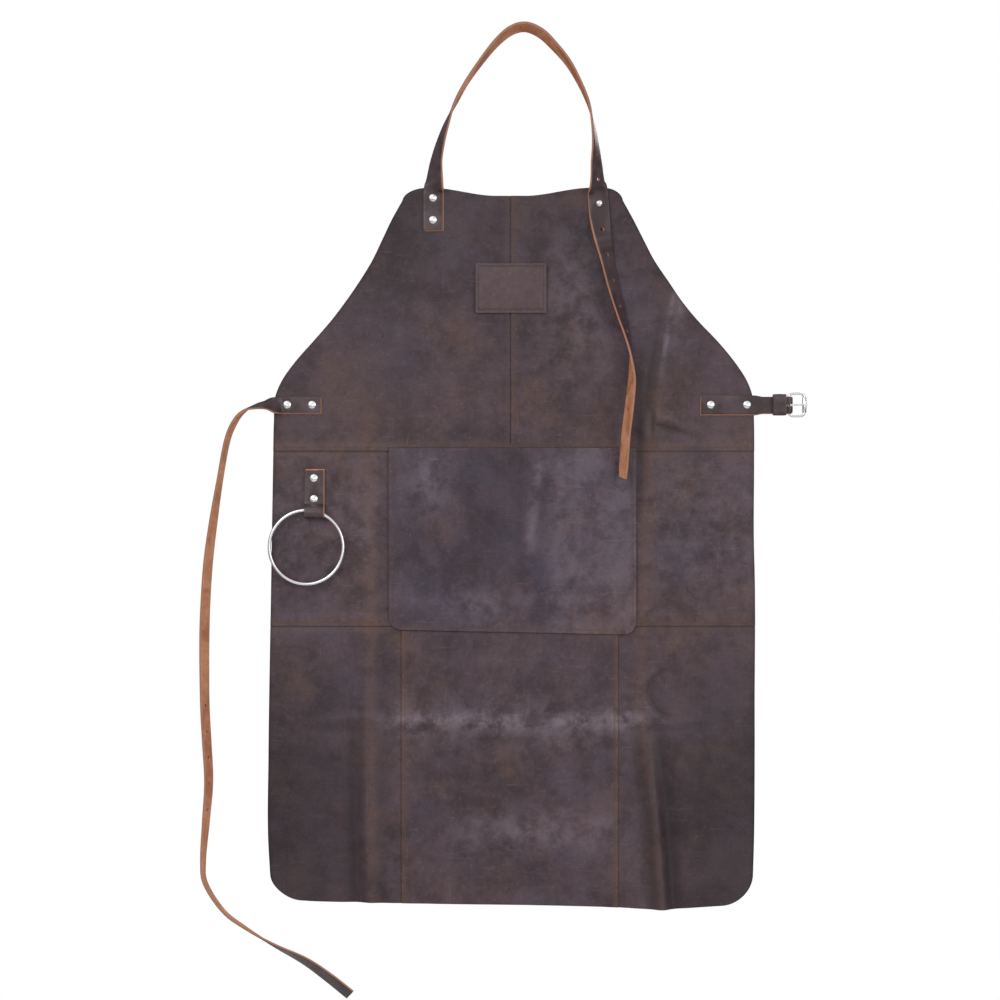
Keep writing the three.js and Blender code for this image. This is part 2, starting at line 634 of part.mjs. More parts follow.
function keeperBlock(grow, x0, x1) {
  return box(x0, x1, keeperInFrontY - grow, keeperInBackY + grow,
    buckleZ - keeperHalfHeight - grow, buckleZ + keeperHalfHeight + grow);
}
const keeperBody = keeperBlock(keeperWall, keeperStart, keeperStart + keeperWide)
  .subtract(keeperBlock(0, keeperStart - 1, keeperStart + keeperWide + 1));
addMesh('buckle_keeper', toGeometry(keeperBody), strapLeather);

// ---- Buckle: frame, roller and prong ----
// A closed wire: a torus whose middle line is moved to the given path in x and z.
function closedWire(pathAt, radius, sides, steps) {
  const geometry = new THREE.TorusGeometry(1, radius, sides, steps);
  const position = geometry.attributes.position;
  const ringSize = steps + 1;
  for (let i = 0; i < position.count; i += 1) {
    const step = i % ringSize;
    const side = Math.floor(i / ringSize);
    const place = pathAt((step % steps) / steps);
    const turn = (side % sides) * 2 * Math.PI / sides;
    const out = radius * Math.cos(turn);
    position.setXYZ(i, place.x + place.nx * out, radius * -Math.sin(turn), place.z + place.nz * out);
  }
  return geometry;
}

const frameCentreX = barX + frameLength / 2;
function frameWire(share) {
  const shape = roundedRectangle(-frameLength / 2, frameLength / 2, -frameHalfHeight, frameHalfHeight,
    frameCorner, frameCorner);
  shape.closePath();
  const point = shape.getPointAt(share);
  const tangent = shape.getTangentAt(share);
  return { x: point.x, z: point.y, nx: tangent.y, nz: -tangent.x };
}
const frameGeometry = closedWire(frameWire, barRadius, 10, 52);
frameGeometry.translate(frameCentreX, barY, buckleZ);
addMesh('buckle_frame', frameGeometry, steel);

// Turned pieces whose axis is Z, given as closed [radius, height] profiles.
function turnedRing(profile, segments) {
  const points = profile.concat([profile[0]]).map(([radius, height]) => new THREE.Vector2(radius, height));
  const geometry = new THREE.LatheGeometry(points, segments);
  geometry.rotateX(Math.PI / 2);
  return geometry;
}

const rollerX = barX + frameLength;
const rollerHole = barRadius + rollerClearance;
const rollerEnd = rollerLength / 2;
const roller = turnedRing([[rollerHole, -rollerEnd], [rollerRadius, -rollerEnd], [rollerRadius, rollerEnd],
  [rollerHole, rollerEnd]], 18);
roller.translate(rollerX, barY, buckleZ);
addMesh('buckle_roller', roller, steel);

const eyeInner = barRadius + gap;
const eyeWall = 1.8;
const eye = turnedRing([[eyeInner, -prongRadius], [eyeInner + eyeWall, -prongRadius],
  [eyeInner + eyeWall, prongRadius], [eyeInner, prongRadius]], 18);
eye.translate(barX, barY, buckleZ);
const tongueY = barY - rollerRadius - gap - prongRadius;
const tongueEnd = rollerX + rollerRadius + 1.5;
const tongueCurve = new THREE.LineCurve3(new THREE.Vector3(barX + 1, tongueY + 0.9, buckleZ),
  new THREE.Vector3(tongueEnd, tongueY, buckleZ));
const tongueSection = new THREE.Shape();
tongueSection.absarc(0, 0, prongRadius, 0, 2 * Math.PI, false);
const tongue = new THREE.ExtrudeGeometry(tongueSection, { steps: 1, extrudePath: tongueCurve, curveSegments: 10 });
addMesh('buckle_prong', toGeometry(toManifold(eye).add(toManifold(tongue))), steel);

// ---- Rivets: a front cap with its post, and a back cap that takes the post's end ----
for (const rivet of rivets) {
  const capBase = -rivet.frontY + gap;
  const postEnd = -rivet.backY - gap - socketDepth;
  const capRim = capBase + 0.5;
  const frontCap = turnedAlongY([[0, postEnd], [postRadius, postEnd], [postRadius, capBase], [capRadius, capBase],
    [capRadius, capRim], [capRadius * 0.72, capBase + capHeight * 0.8], [dimpleRadius, capBase + capHeight],
    [0, capBase + capHeight - dimpleDepth]]);
  frontCap.translate(rivet.x, 0, rivet.z);
  addMesh(`${rivet.name}_cap`, frontCap, steel);
  const backTop = -rivet.backY - gap;
  const backEnd = backTop - backCapHeight;
  const socket = postRadius + gap;
  const backCap = turnedAlongY([[0, backEnd], [capRadius * 0.8, backEnd], [capRadius, backEnd + 0.6],
    [capRadius, backTop], [socket, backTop], [socket, backTop - socketDepth - gap], [0, backTop - socketDepth - gap]]);
  backCap.translate(rivet.x, 0, rivet.z);
  addMesh(`${rivet.name}_back`, backCap, steel);
}

// ---- Neck stud: a ball-headed stud through the bib, screwed together from the back ----
const studHead = -strapFrontY + gap;
const studBack = -gap;
const screwHole = screwRadius + gap;
const screwReach = 3;
const stud = turnedAlongY([[0, studBack + screwReach + gap], [screwHole, studBack + screwReach + gap],
  [screwHole, 0], [studNeckRadius, 0], [studNeckRadius, studHead], [studHeadRadius * 0.8, studHead],
  [studHeadRadius, studHead + studHeadHeight * 0.3], [studHeadRadius * 0.85, studHead + studHeadHeight * 0.7],
  [studHeadRadius * 0.45, studHead + studHeadHeight * 0.95], [0, studHead + studHeadHeight]]);
stud.translate(studX, 0, studZ);
addMesh('neck_stud', stud, steel);
const screwHeadHeight = 1.4;
const screw = turnedAlongY([[0, studBack - screwHeadHeight], [capRadius * 0.8, studBack - screwHeadHeight],
  [capRadius, studBack - 0.5], [capRadius, studBack], [screwRadius, studBack],
  [screwRadius, studBack + screwReach], [0, studBack + screwReach]]);
screw.translate(studX, 0, studZ);
addMesh('neck_stud_screw', screw, steel);

const model = new THREE.Group();
model.add(apron);
export default model;
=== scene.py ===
# Leather welding apron, hanging from its neck strap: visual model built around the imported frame.
# Metres, +Z up, the front of the apron faces -Y.
import math

import bpy
import numpy as np
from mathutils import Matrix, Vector


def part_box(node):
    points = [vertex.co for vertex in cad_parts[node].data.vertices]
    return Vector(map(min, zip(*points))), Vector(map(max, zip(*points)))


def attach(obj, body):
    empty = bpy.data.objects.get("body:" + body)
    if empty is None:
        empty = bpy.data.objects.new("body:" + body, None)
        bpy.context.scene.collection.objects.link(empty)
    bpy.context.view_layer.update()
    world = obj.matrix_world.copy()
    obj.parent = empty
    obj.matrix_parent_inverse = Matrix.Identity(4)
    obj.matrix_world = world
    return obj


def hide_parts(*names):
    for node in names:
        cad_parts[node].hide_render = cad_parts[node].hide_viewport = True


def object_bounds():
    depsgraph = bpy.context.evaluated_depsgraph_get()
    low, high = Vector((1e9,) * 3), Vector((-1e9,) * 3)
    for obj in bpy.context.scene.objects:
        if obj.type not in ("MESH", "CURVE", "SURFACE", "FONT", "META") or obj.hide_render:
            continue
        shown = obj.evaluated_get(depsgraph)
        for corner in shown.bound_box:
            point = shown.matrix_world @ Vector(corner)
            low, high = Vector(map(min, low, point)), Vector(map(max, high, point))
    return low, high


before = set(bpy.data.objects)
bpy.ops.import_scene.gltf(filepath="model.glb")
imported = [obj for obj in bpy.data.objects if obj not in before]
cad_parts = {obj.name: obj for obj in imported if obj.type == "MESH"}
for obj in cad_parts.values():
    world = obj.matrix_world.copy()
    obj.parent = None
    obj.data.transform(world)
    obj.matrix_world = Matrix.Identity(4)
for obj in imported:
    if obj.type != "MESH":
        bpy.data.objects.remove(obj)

cad_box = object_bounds()


# ---- Camera, light and floor ----
# A long lens square on to the apron's front, an even white studio with a large soft lamp at each side,
# and a plain pale floor well below the hem.
def add_camera():
    """Square-on camera: the lens is the sensor's width times the distance over the width that it takes in."""
    distance = 4.2
    view_width = 1.27
    low, high = cad_box
    camera = bpy.data.cameras.new("camera")
    camera.lens = camera.sensor_width * distance / view_width
    camera.clip_end = 50
    holder = bpy.data.objects.new("camera", camera)
    holder.location = ((low.x + high.x) / 2 - 0.0048, -distance, (low.z + high.z) / 2 + 0.0137)
    holder.rotation_euler = (math.radians(90), 0, 0)
    bpy.context.scene.collection.objects.link(holder)
    bpy.context.scene.camera = holder


def add_lamp(name, place, aim, size, power, tint):
    """Soft square lamp turned towards a point."""
    lamp = bpy.data.lights.new(name, "AREA")
    lamp.size = size
    lamp.energy = power
    lamp.color = tint
    holder = bpy.data.objects.new(name, lamp)
    holder.location = place
    holder.rotation_mode = "QUATERNION"
    holder.rotation_quaternion = (Vector(aim) - Vector(place)).to_track_quat("-Z", "Y")
    bpy.context.scene.collection.objects.link(holder)


def add_studio():
    """White surroundings: pure white to look at. As a light they are brightest at the front and above, by the
    height 0.6 z - 0.8 y of the direction."""
    world = bpy.data.worlds.new("studio")
    bpy.context.scene.world = world
    world.use_nodes = True
    tree = world.node_tree
    tree.nodes.clear()
    coordinates = tree.nodes.new("ShaderNodeTexCoord")
    height = tree.nodes.new("ShaderNodeVectorMath")
    height.operation = "DOT_PRODUCT"
    height.inputs[1].default_value = (0, -0.8, 0.6)
    tree.links.new(coordinates.outputs["Generated"], height.inputs[0])
    shade = tree.nodes.new("ShaderNodeValToRGB")
    shade.color_ramp.elements[0].position = 0.0
    shade.color_ramp.elements[0].color = (0.26, 0.26, 0.28, 1)
    shade.color_ramp.elements[1].position = 0.9
    shade.color_ramp.elements[1].color = (0.95, 0.95, 0.97, 1)
    tree.links.new(height.outputs["Value"], shade.inputs[0])
    glow = tree.nodes.new("ShaderNodeBackground")
    glow.inputs["Strength"].default_value = 0.75
    tree.links.new(shade.outputs["Color"], glow.inputs["Color"])
    paper = tree.nodes.new("ShaderNodeBackground")
    paper.inputs["Color"].default_value = (1, 1, 1, 1)
    path = tree.nodes.new("ShaderNodeLightPath")
    either = tree.nodes.new("ShaderNodeMixShader")
    tree.links.new(path.outputs["Is Camera Ray"], either.inputs[0])
    tree.links.new(glow.outputs[0], either.inputs[1])
    tree.links.new(paper.outputs[0], either.inputs[2])
    output = tree.nodes.new("ShaderNodeOutputWorld")
    tree.links.new(either.outputs[0], output.inputs["Surface"])
    bpy.context.scene.view_settings.view_transform = "Standard"


def add_floor():
    """Round pale floor below the lowest point of the strap."""
    radius, steps = 1.0, 96
    height = cad_box[0].z - 0.10
    turn = np.linspace(0, 2 * np.pi, steps, endpoint=False)
    points = np.stack([radius * np.cos(turn), radius * np.sin(turn) - 0.60, np.full(steps, height)], 1)
    mesh = bpy.data.meshes.new("floor")
    mesh.from_pydata(points.tolist(), [], [list(range(steps))])
    floor = bpy.data.objects.new("floor", mesh)
    bpy.context.scene.collection.objects.link(floor)
    pale = bpy.data.materials.new("pale_floor")
    pale.use_nodes = True
    shader = pale.node_tree.nodes["Principled BSDF"]
    shader.inputs["Base Color"].default_value = (0.86, 0.86, 0.86, 1)
    shader.inputs["Roughness"].default_value = 0.9
    mesh.materials.append(pale)


add_camera()
add_studio()
add_floor()
add_lamp("key_lamp", (-1.6, -2.6, 0.9), (-0.05, 0, -0.5), 1.8, 33, (1.0, 0.99, 0.97))
add_lamp("fill_lamp", (2.0, -2.4, -0.2), (0, 0, -0.6), 1.6, 20, (0.97, 0.98, 1.0))
add_lamp("rear_lamp", (0.6, 2.4, 0.6), (0, 0, -0.5), 1.8, 34, (1.0, 1.0, 1.0))


# ---- Leather panels ----
# Six panels of 2 mm waxed leather: the bib's two halves, the waist panel and three skirt panels. Each upper
# panel laps over the one below it, and the skirt's middle laps over its sides. They are sewn along the laps.
LEATHER = 0.002                 # thickness
LAP = 0.010                     # width of leather hidden behind a lap
GRID = 0.0028                   # spacing of the points of a panel
waist_low, waist_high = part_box("waist_panel")
MIDDLE = (waist_low.x + waist_high.x) / 2
FACE_Y = -LEATHER               # front of the panels where they lie flat
CENTRE_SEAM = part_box("bib_right_panel")[0].x - MIDDLE
UPPER_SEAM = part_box("bib_right_panel")[0].z
LOWER_SEAM = waist_low.z
LEFT_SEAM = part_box("skirt_centre_panel")[0].x - MIDDLE
RIGHT_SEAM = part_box("skirt_right_panel")[0].x - MIDDLE + LAP
BIB_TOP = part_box("bib_left_panel")[1].z
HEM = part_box("skirt_left_panel")[0].z
HEM_CORNER = 0.040


def smooth_step(value, start, end):
    """0 before start, 1 after end, and a smooth S between them."""
    t = np.clip((value - start) / (end - start), 0, 1)
    return t * t * (3 - 2 * t)


def flowing(value, knots):
    """Smooth curve through (position, height) knots: cubic Hermite pieces with the slopes of the
    neighbours."""
    at, height = np.array(sorted(knots)).T
    slope = np.gradient(height, at)
    value = np.clip(value, at[0], at[-1])
    i = np.clip(np.searchsorted(at, value) - 1, 0, len(at) - 2)
    step = at[i + 1] - at[i]
    t = (value - at[i]) / step
    return ((1 + 2 * t) * (1 - t) ** 2 * height[i] + t * (1 - t) ** 2 * step * slope[i]
            + t * t * (3 - 2 * t) * height[i + 1] + t * t * (t - 1) * step * slope[i + 1])


LEFT_EDGE = [(-1.075, -0.309), (-1.03, -0.3115), (-0.93, -0.311), (-0.855, -0.310), (-0.728, -0.3075),
             (-0.626, -0.3058), (-0.55, -0.3045), (-0.499, -0.3035), (-0.467, -0.3015), (-0.448, -0.2934),
             (-0.423, -0.2756), (-0.397, -0.2527), (-0.372, -0.2311), (-0.347, -0.2121), (-0.321, -0.1943),
             (-0.296, -0.179), (-0.270, -0.1664), (-0.245, -0.1546), (-0.2195, -0.1405)]
RIGHT_EDGE = [(-1.075, 0.3055), (-1.03, 0.3068), (-0.93, 0.3075), (-0.855, 0.3073), (-0.702, 0.3073),
              (-0.651, 0.306), (-0.55, 0.3062), (-0.499, 0.306), (-0.469, 0.3045), (-0.448, 0.297),
              (-0.423, 0.2807), (-0.397, 0.259), (-0.372, 0.235), (-0.347, 0.2146), (-0.321, 0.1969),
              (-0.296, 0.180), (-0.270, 0.1664), (-0.245, 0.1537), (-0.2195, 0.1397)]
TOP_CORNER = 0.018              # height of the rounded top corners


def side_edge(z, knots, half_top):
    """The cut's side at height z: the flowing edge, rounded in above the armhole and below the hem's
    corner."""
    edge = flowing(z, knots)
    side = np.sign(edge)
    up = np.clip((z - (BIB_TOP - TOP_CORNER)) / TOP_CORNER, 0, 1)
    edge = edge - side * (abs(edge) - half_top) * (1 - np.sqrt(1 - up ** 2))
    down = np.clip((HEM + HEM_CORNER - z) / HEM_CORNER, 0, 1)
    return edge - side * HEM_CORNER * (1 - np.sqrt(1 - down ** 2))


def left_edge(z):
    """Left side of the cut, in metres from the apron's middle."""
    return side_edge(z, LEFT_EDGE, 0.108)


def right_edge(z):
    """Right side of the cut."""
    return side_edge(z, RIGHT_EDGE, 0.115)


def hem_drop(x):
    """How far the hem's line stands from its lowest height: it sinks a little to the right, most at the
    fold."""
    return flowing(x, [(-0.31, 0.009), (-0.26, 0.006), (-0.19, 0.0045), (-0.04, 0.002), (0.06, 0.0005),
                       (0.14, -0.002),
                       (0.19, -0.005), (0.22, -0.003), (0.31, 0.002)])


def top_dip(x):
    """How far the bib's top edge stands below its corners: a shallow S at each side, level in the middle."""
    return 0.0102 * smooth_step(0.118 - abs(x + 0.003), 0.016, 0.100)


def ridge(offset, width):
    """Rounded ridge: a bell of the given half width."""
    return np.exp(-(offset / width) ** 2)


def waves(x, z, seed, count, longest, shortest):
    """Sum of count sine waves of mixed directions and lengths, about 1 high in all, the same for each
    seed."""
    draw = np.random.default_rng(seed)
    total = np.zeros(np.broadcast(x, z).shape)
    for length in np.geomspace(longest, shortest, count):
        angle, phase = draw.uniform(0, np.pi), draw.uniform(0, 2 * np.pi)
        total = total + np.sin(2 * np.pi * (x * np.cos(angle) + z * np.sin(angle)) / length + phase)
    return total / np.sqrt(count)


FOLD_LEFT = [(-1.12, -0.181), (-0.95, -0.184), (-0.75, -0.183), (-0.55, -0.186), (-0.38, -0.194)]
ARMHOLE_CREASE = [(-0.52, 0.178), (-0.47, 0.184), (-0.42, 0.191), (-0.37, 0.199), (-0.32, 0.206),
                  (-0.28, 0.208)]
FOLD_RIGHT = [(-1.12, 0.190), (-1.0, 0.181), (-0.88, 0.169), (-0.75, 0.172), (-0.62, 0.176), (-0.50, 0.183),
              (-0.40, 0.200)]


def hook(x, z, radius, width):
    """Hooked crease beside the right fold, part of a circle."""
    away = np.hypot(x - 0.203, z + 0.844)
    return ridge(away - radius, width) * smooth_step(0.200 - x, -0.01, 0.01) * smooth_step(-z, 0.808, 0.82)


def kink(x, z, above, width):
    """Kink below the armhole crease: a short line sloping down to the right from a short upright one."""
    slope = z + 0.503 + 0.30 * (x - 0.181) - above
    sideways = ridge(slope, width) * smooth_step(x, 0.176, 0.186) * smooth_step(-x, -0.25, -0.20)
    return np.maximum(sideways, ridge(x - 0.1775 + above, width) * ridge(z + 0.505, 0.018))


def drape(x, z):
    """How far the leather stands out to the front at x, z: two upright folds that deepen to the hem, the
    creases where the apron was folded across, small kinks beside the right fold, and slow waves over all."""
    low = smooth_step(-z, 0.55, 1.1)
    out = 0.0006 * waves(x, z, 4, 7, 0.30, 0.07) + 0.0003 * waves(x, z, 9, 9, 0.09, 0.022)
    left = x - flowing(z, FOLD_LEFT)
    out += (0.0012 + 0.0034 * low) * ridge(left, 0.009) * smooth_step(-z, 0.36, 0.62)
    out -= (0.0010 + 0.0030 * low) * ridge(left + 0.018, 0.011) * smooth_step(-z, 0.6, 0.9)
    right = x - flowing(z, FOLD_RIGHT)
    strong = smooth_step(-z, 0.85, 1.02)
    out += (0.0014 + 0.0048 * strong) * ridge(right, 0.0085) * smooth_step(-z, 0.40, 0.55)
    out -= (0.0006 + 0.0034 * strong) * (ridge(right - 0.017, 0.011) + ridge(right + 0.019, 0.012))
    pulled = x - flowing(z, ARMHOLE_CREASE)
    out += 0.0022 * ridge(pulled, 0.005) * smooth_step(-z, 0.31, 0.37) * smooth_step(z, -0.50, -0.44)
    out -= 0.0018 * ridge(pulled + 0.013, 0.007) * smooth_step(-z, 0.33, 0.40) * smooth_step(z, -0.52, -0.46)
    out += 0.0016 * ridge(z + 0.880 + 0.004 * np.sin(x * 40), 0.006) * smooth_step(0.30 - abs(x), 0, 0.1)
    out -= 0.0008 * ridge(z + 0.893, 0.007) * smooth_step(0.30 - abs(x), 0, 0.1)
    out -= 0.0011 * ridge(z + 0.545 + 0.003 * np.sin(x * 30), 0.009) * smooth_step(abs(x), 0.16, 0.20)
    out += 0.0013 * (hook(x, z, 0.039, 0.006) - 1.4 * hook(x, z, 0.030, 0.0035))
    out += 0.0018 * (kink(x, z, 0.011, 0.007) - 1.5 * kink(x, z, 0.0, 0.004))
    out -= 0.010 * low * (abs(x) / 0.31) ** 4
    near_waist = ridge(z + 0.478, 0.035) * smooth_step(abs(x), 0.20, 0.24)
    near_ring = ridge(np.hypot(x + 0.2525, z + 0.625) / 0.09, 1.0)
    near_top = ridge(z - BIB_TOP, 0.05)
    return out * (1 - 0.9 * np.clip(near_waist + near_ring + near_top, 0, 1))


def ladder(stops, spacing):
    """Values from the first stop to the last, each stretch between stops cut into even steps near the
    spacing. A stop is a number or an array, one value for each row; the result has one more axis."""
    stops = [np.atleast_1d(np.asarray(stop, float)) for stop in stops]
    parts = []
    for start, end in zip(stops[:-1], stops[1:]):
        count = max(1, int(round(np.max(abs(end - start)) / spacing)))
        parts.append(start[:, None] + (end - start)[:, None] * np.arange(count) / count)
    return np.concatenate(parts + [stops[-1][:, None] * np.ones((len(parts[-1]), 1))], 1)


def shell(name, front, back, keep=None):
    """Closed sheet made of two grids of points. Each kept cell gives a front and a back face, and each edge
    between a kept cell and a missing one gets a wall, so that rims and holes close in the same way.
    The attribute flesh is 0 on the front and 1 on the back."""
    rows, columns = front.shape[:2]
    if keep is None:
        keep = np.ones((rows - 1, columns - 1), bool)
    count = rows * columns
    index = np.arange(count).reshape(rows, columns)
    a, b, c, d = index[:-1, :-1][keep], index[:-1, 1:][keep], index[1:, 1:][keep], index[1:, :-1][keep]
    faces = [np.stack([a, d, c, b], 1), np.stack([a, b, c, d], 1) + count]
    framed = np.pad(keep, 1)
    above, below = framed[:-1, 1:-1], framed[1:, 1:-1]
    before, after = framed[1:-1, :-1], framed[1:-1, 1:]
    p, q = index[:, :-1], index[:, 1:]
    r, s = index[:-1, :], index[1:, :]
    for start, end, rim in ((p, q, below & ~above), (q, p, above & ~below),
                            (s, r, after & ~before), (r, s, before & ~after)):
        faces.append(np.stack([start[rim], end[rim], end[rim] + count, start[rim] + count], 1))
    points = np.concatenate([front.reshape(-1, 3), back.reshape(-1, 3)])
    faces = np.concatenate(faces)
    used, faces = np.unique(faces, return_inverse=True)
    mesh = bpy.data.meshes.new(name)
    mesh.from_pydata(points[used].tolist(), [], faces.reshape(-1, 4).tolist())
    mesh.polygons.foreach_set("use_smooth", np.ones(len(mesh.polygons), bool))
    flesh = mesh.attributes.new("flesh", "FLOAT", "POINT")
    flesh.data.foreach_set("value", (used >= count).astype(np.float32))
    piece = bpy.data.objects.new(name, mesh)
    bpy.context.scene.collection.objects.link(piece)
    return piece, used


def paint(piece, used, name, values):
    """Stores a grid of values, the same for both faces of a shell, as a point attribute."""
    flat = np.concatenate([np.ravel(values)] * 2)[used]
    piece.data.attributes.new(name, "FLOAT", "POINT").data.foreach_set("value", flat.astype(np.float32))


def round_rims(piece, width):
    """Takes the sharpness off cut edges with a narrow bevel of two steps."""
    bevel = piece.modifiers.new("cut_edge", "BEVEL")
    bevel.width = width
    bevel.segments = 2
    bevel.limit_method = "ANGLE"
    bevel.angle_limit = math.radians(50)
    bevel.harden_normals = True


def node(tree, kind, *sockets, **settings):
    """New shader node. Each socket is (input, value or the output socket that feeds it)."""
    made = tree.nodes.new(kind)
    for key, value in settings.items():
        setattr(made, key, value)
    for key, value in sockets:
        if isinstance(value, bpy.types.NodeSocket):
            tree.links.new(value, made.inputs[key])
        else:
            made.inputs[key].default_value = value
    return made


def noise(tree, place, scale, detail, roughness=0.6, distortion=0.0):
    """Noise of the given scale, in waves per metre, read at the place socket."""
    made = node(tree, "ShaderNodeTexNoise", ("Vector", place), ("Scale", scale), ("Detail", detail),
                ("Roughness", roughness), ("Distortion", distortion))
    return made.outputs["Fac"]


def between(tree, value, low, high, to_low=0.0, to_high=1.0):
    """Smooth step of a value socket between low and high."""
    return node(tree, "ShaderNodeMapRange", (0, value), (1, low), (2, high), (3, to_low), (4, to_high),
                interpolation_type="SMOOTHSTEP").outputs[0]


def maths(tree, operation, first, second):
    """Arithmetic on two sockets or numbers."""
    return node(tree, "ShaderNodeMath", (0, first), (1, second), operation=operation).outputs[0]


def mixed(tree, share, first, second):
    """Colour between first and second."""
    made = tree.nodes.new("ShaderNodeMix")
    made.data_type = "RGBA"
    for key, value in ((0, share), (6, first), (7, second)):
        if isinstance(value, bpy.types.NodeSocket):
            tree.links.new(value, made.inputs[key])
        else:
            made.inputs[key].default_value = value
    return made.outputs[2]


def srgb(red, green, blue):
    """Screen colour, 0 to 255, as the linear colour of a shader socket."""
    part = np.array([red, green, blue]) / 255
    linear = np.where(part <= 0.04045, part / 12.92, ((part + 0.055) / 1.055) ** 2.4)
    return (*linear.tolist(), 1.0)


def attribute(tree, name):
    """Value of a point attribute."""
    return node(tree, "ShaderNodeAttribute", attribute_name=name).outputs["Fac"]


def panel_leather(name, deep, pale, violet, rust, gloss):
    """Waxed pull-up leather. Two sizes of cloud mix the deep and the pale tone, with violet and rust
    patches. Rust also shows along folds and seams (attribute rust). A second attribute lightens the leather
    to pale and dry: real wear, and painted highlights on raised creases and folds. Painted shade (attribute
    shade) darkens hollows, fold sides and cut edges. The back is suede."""
    made = bpy.data.materials.new(name)
    made.use_nodes = True
    tree = made.node_tree
    shader = tree.nodes["Principled BSDF"]
    place = node(tree, "ShaderNodeTexCoord").outputs["Object"]
    clouds = noise(tree, place, 7.0, 5, 0.64, 0.3)
    spots = noise(tree, place, 34.0, 6, 0.72, 0.2)
    specks = noise(tree, place, 260.0, 4, 0.7)
    tone = maths(tree, "ADD", maths(tree, "MULTIPLY", clouds, 0.55), maths(tree, "MULTIPLY", spots, 0.45))
    colour = mixed(tree, between(tree, tone, 0.36, 0.64), deep, pale)
    patches = noise(tree, node(tree, "ShaderNodeMapping", ("Vector", place),
                               ("Location", (3.1, 0, 1.7))).outputs[0],
                    11.0, 6, 0.70, 0.3)
    bluish = between(tree, patches, 0.52, 0.32, 0.0, 0.45)
    colour = mixed(tree, bluish, colour, violet)
    rusty = maths(tree, "ADD", attribute(tree, "rust"), between(tree, patches, 0.50, 0.70, 0.0, 0.55))
    rusty = maths(tree, "MULTIPLY", rusty, between(tree, spots, 0.30, 0.62, 0.45, 1.15))
    rusty = node(tree, "ShaderNodeClamp", (0, rusty)).outputs[0]
    colour = mixed(tree, rusty, colour, rust)
    stretched = node(tree, "ShaderNodeMapping", ("Vector", place), ("Scale", (28.0, 10.0, 240.0)),
                     ("Rotation", (0, 0.10, 0))).outputs[0]
    strokes = between(tree, noise(tree, stretched, 1.0, 3, 0.55), 0.60, 0.72)
    upright = node(tree, "ShaderNodeMapping", ("Vector", place), ("Scale", (210.0, 10.0, 16.0)),
                   ("Rotation", (0, -0.2, 0))).outputs[0]
    strokes = maths(tree, "MAXIMUM", strokes, between(tree, noise(tree, upright, 1.0, 3, 0.55), 0.64, 0.75))
    wear_and_highlight = attribute(tree, "wear_and_highlight")
    rub_and_highlight = maths(tree, "ADD", maths(tree, "MULTIPLY", strokes, 0.10),
                   maths(tree, "MULTIPLY", wear_and_highlight, between(tree, spots, 0.36, 0.66, 0.10, 1.0)))
    rub_and_highlight = maths(tree, "ADD", rub_and_highlight, between(tree, specks, 0.55, 0.72, 0.0, 0.15))
    rub_and_highlight = node(tree, "ShaderNodeClamp", (0, rub_and_highlight)).outputs[0]
    colour = mixed(tree, between(tree, specks, 0.45, 0.28, 0.0, 0.30), colour,
                   (deep[0] * 0.35, deep[1] * 0.35, deep[2] * 0.35, 1))
    # pale rubbed leather: real scuffs and wear, and painted highlights on raised creases and folds
    colour = mixed(tree, rub_and_highlight, colour, srgb(142, 128, 138))
    # painted shade: darkens the colour towards a quarter of the deep tone in hollows, beside folds and at cut
    # edges
    colour = mixed(tree, attribute(tree, "shade"), colour,
                   (deep[0] * 0.25, deep[1] * 0.25, deep[2] * 0.25, 1))
    suede = mixed(tree, between(tree, specks, 0.35, 0.65), srgb(96, 72, 58), srgb(128, 98, 80))
    back = between(tree, attribute(tree, "flesh"), 0.60, 0.95)
    colour = mixed(tree, between(tree, attribute(tree, "flesh"), 0.04, 0.25, 0.0, 0.8), colour,
                   srgb(104, 74, 60))
    tree.links.new(mixed(tree, back, colour, suede), shader.inputs["Base Color"])
    shader.inputs["Specular IOR Level"].default_value = 0.36
    polish = maths(tree, "ADD", between(tree, spots, 0.3, 0.7, gloss - 0.07, gloss + 0.10),
                   maths(tree, "MULTIPLY", rub_and_highlight, 0.2))
    polish = maths(tree, "ADD", polish, maths(tree, "MULTIPLY", back, 0.4))
    tree.links.new(polish, shader.inputs["Roughness"])
    pores = node(tree, "ShaderNodeTexVoronoi", ("Vector", place), ("Scale", 620.0), ("Randomness", 1.0))
    grain = maths(tree, "ADD", maths(tree, "MULTIPLY", pores.outputs["Distance"], 0.5),
                  maths(tree, "MULTIPLY", noise(tree, place, 900.0, 3, 0.6), 0.6))
    grain = maths(tree, "ADD", grain, maths(tree, "MULTIPLY", noise(tree, place, 120.0, 4, 0.6), 1.6))
    grain = maths(tree, "SUBTRACT", grain, maths(tree, "MULTIPLY", strokes, 0.35))
    rough = node(tree, "ShaderNodeBump", ("Strength", 0.35), ("Distance", 0.0006), ("Height", grain))
    tree.links.new(rough.outputs[0], shader.inputs["Normal"])
    return made


dark_leather = panel_leather("waxed_leather", srgb(53, 38, 43), srgb(84, 67, 74), srgb(74, 65, 80),
                             srgb(94, 69, 60), 0.46)


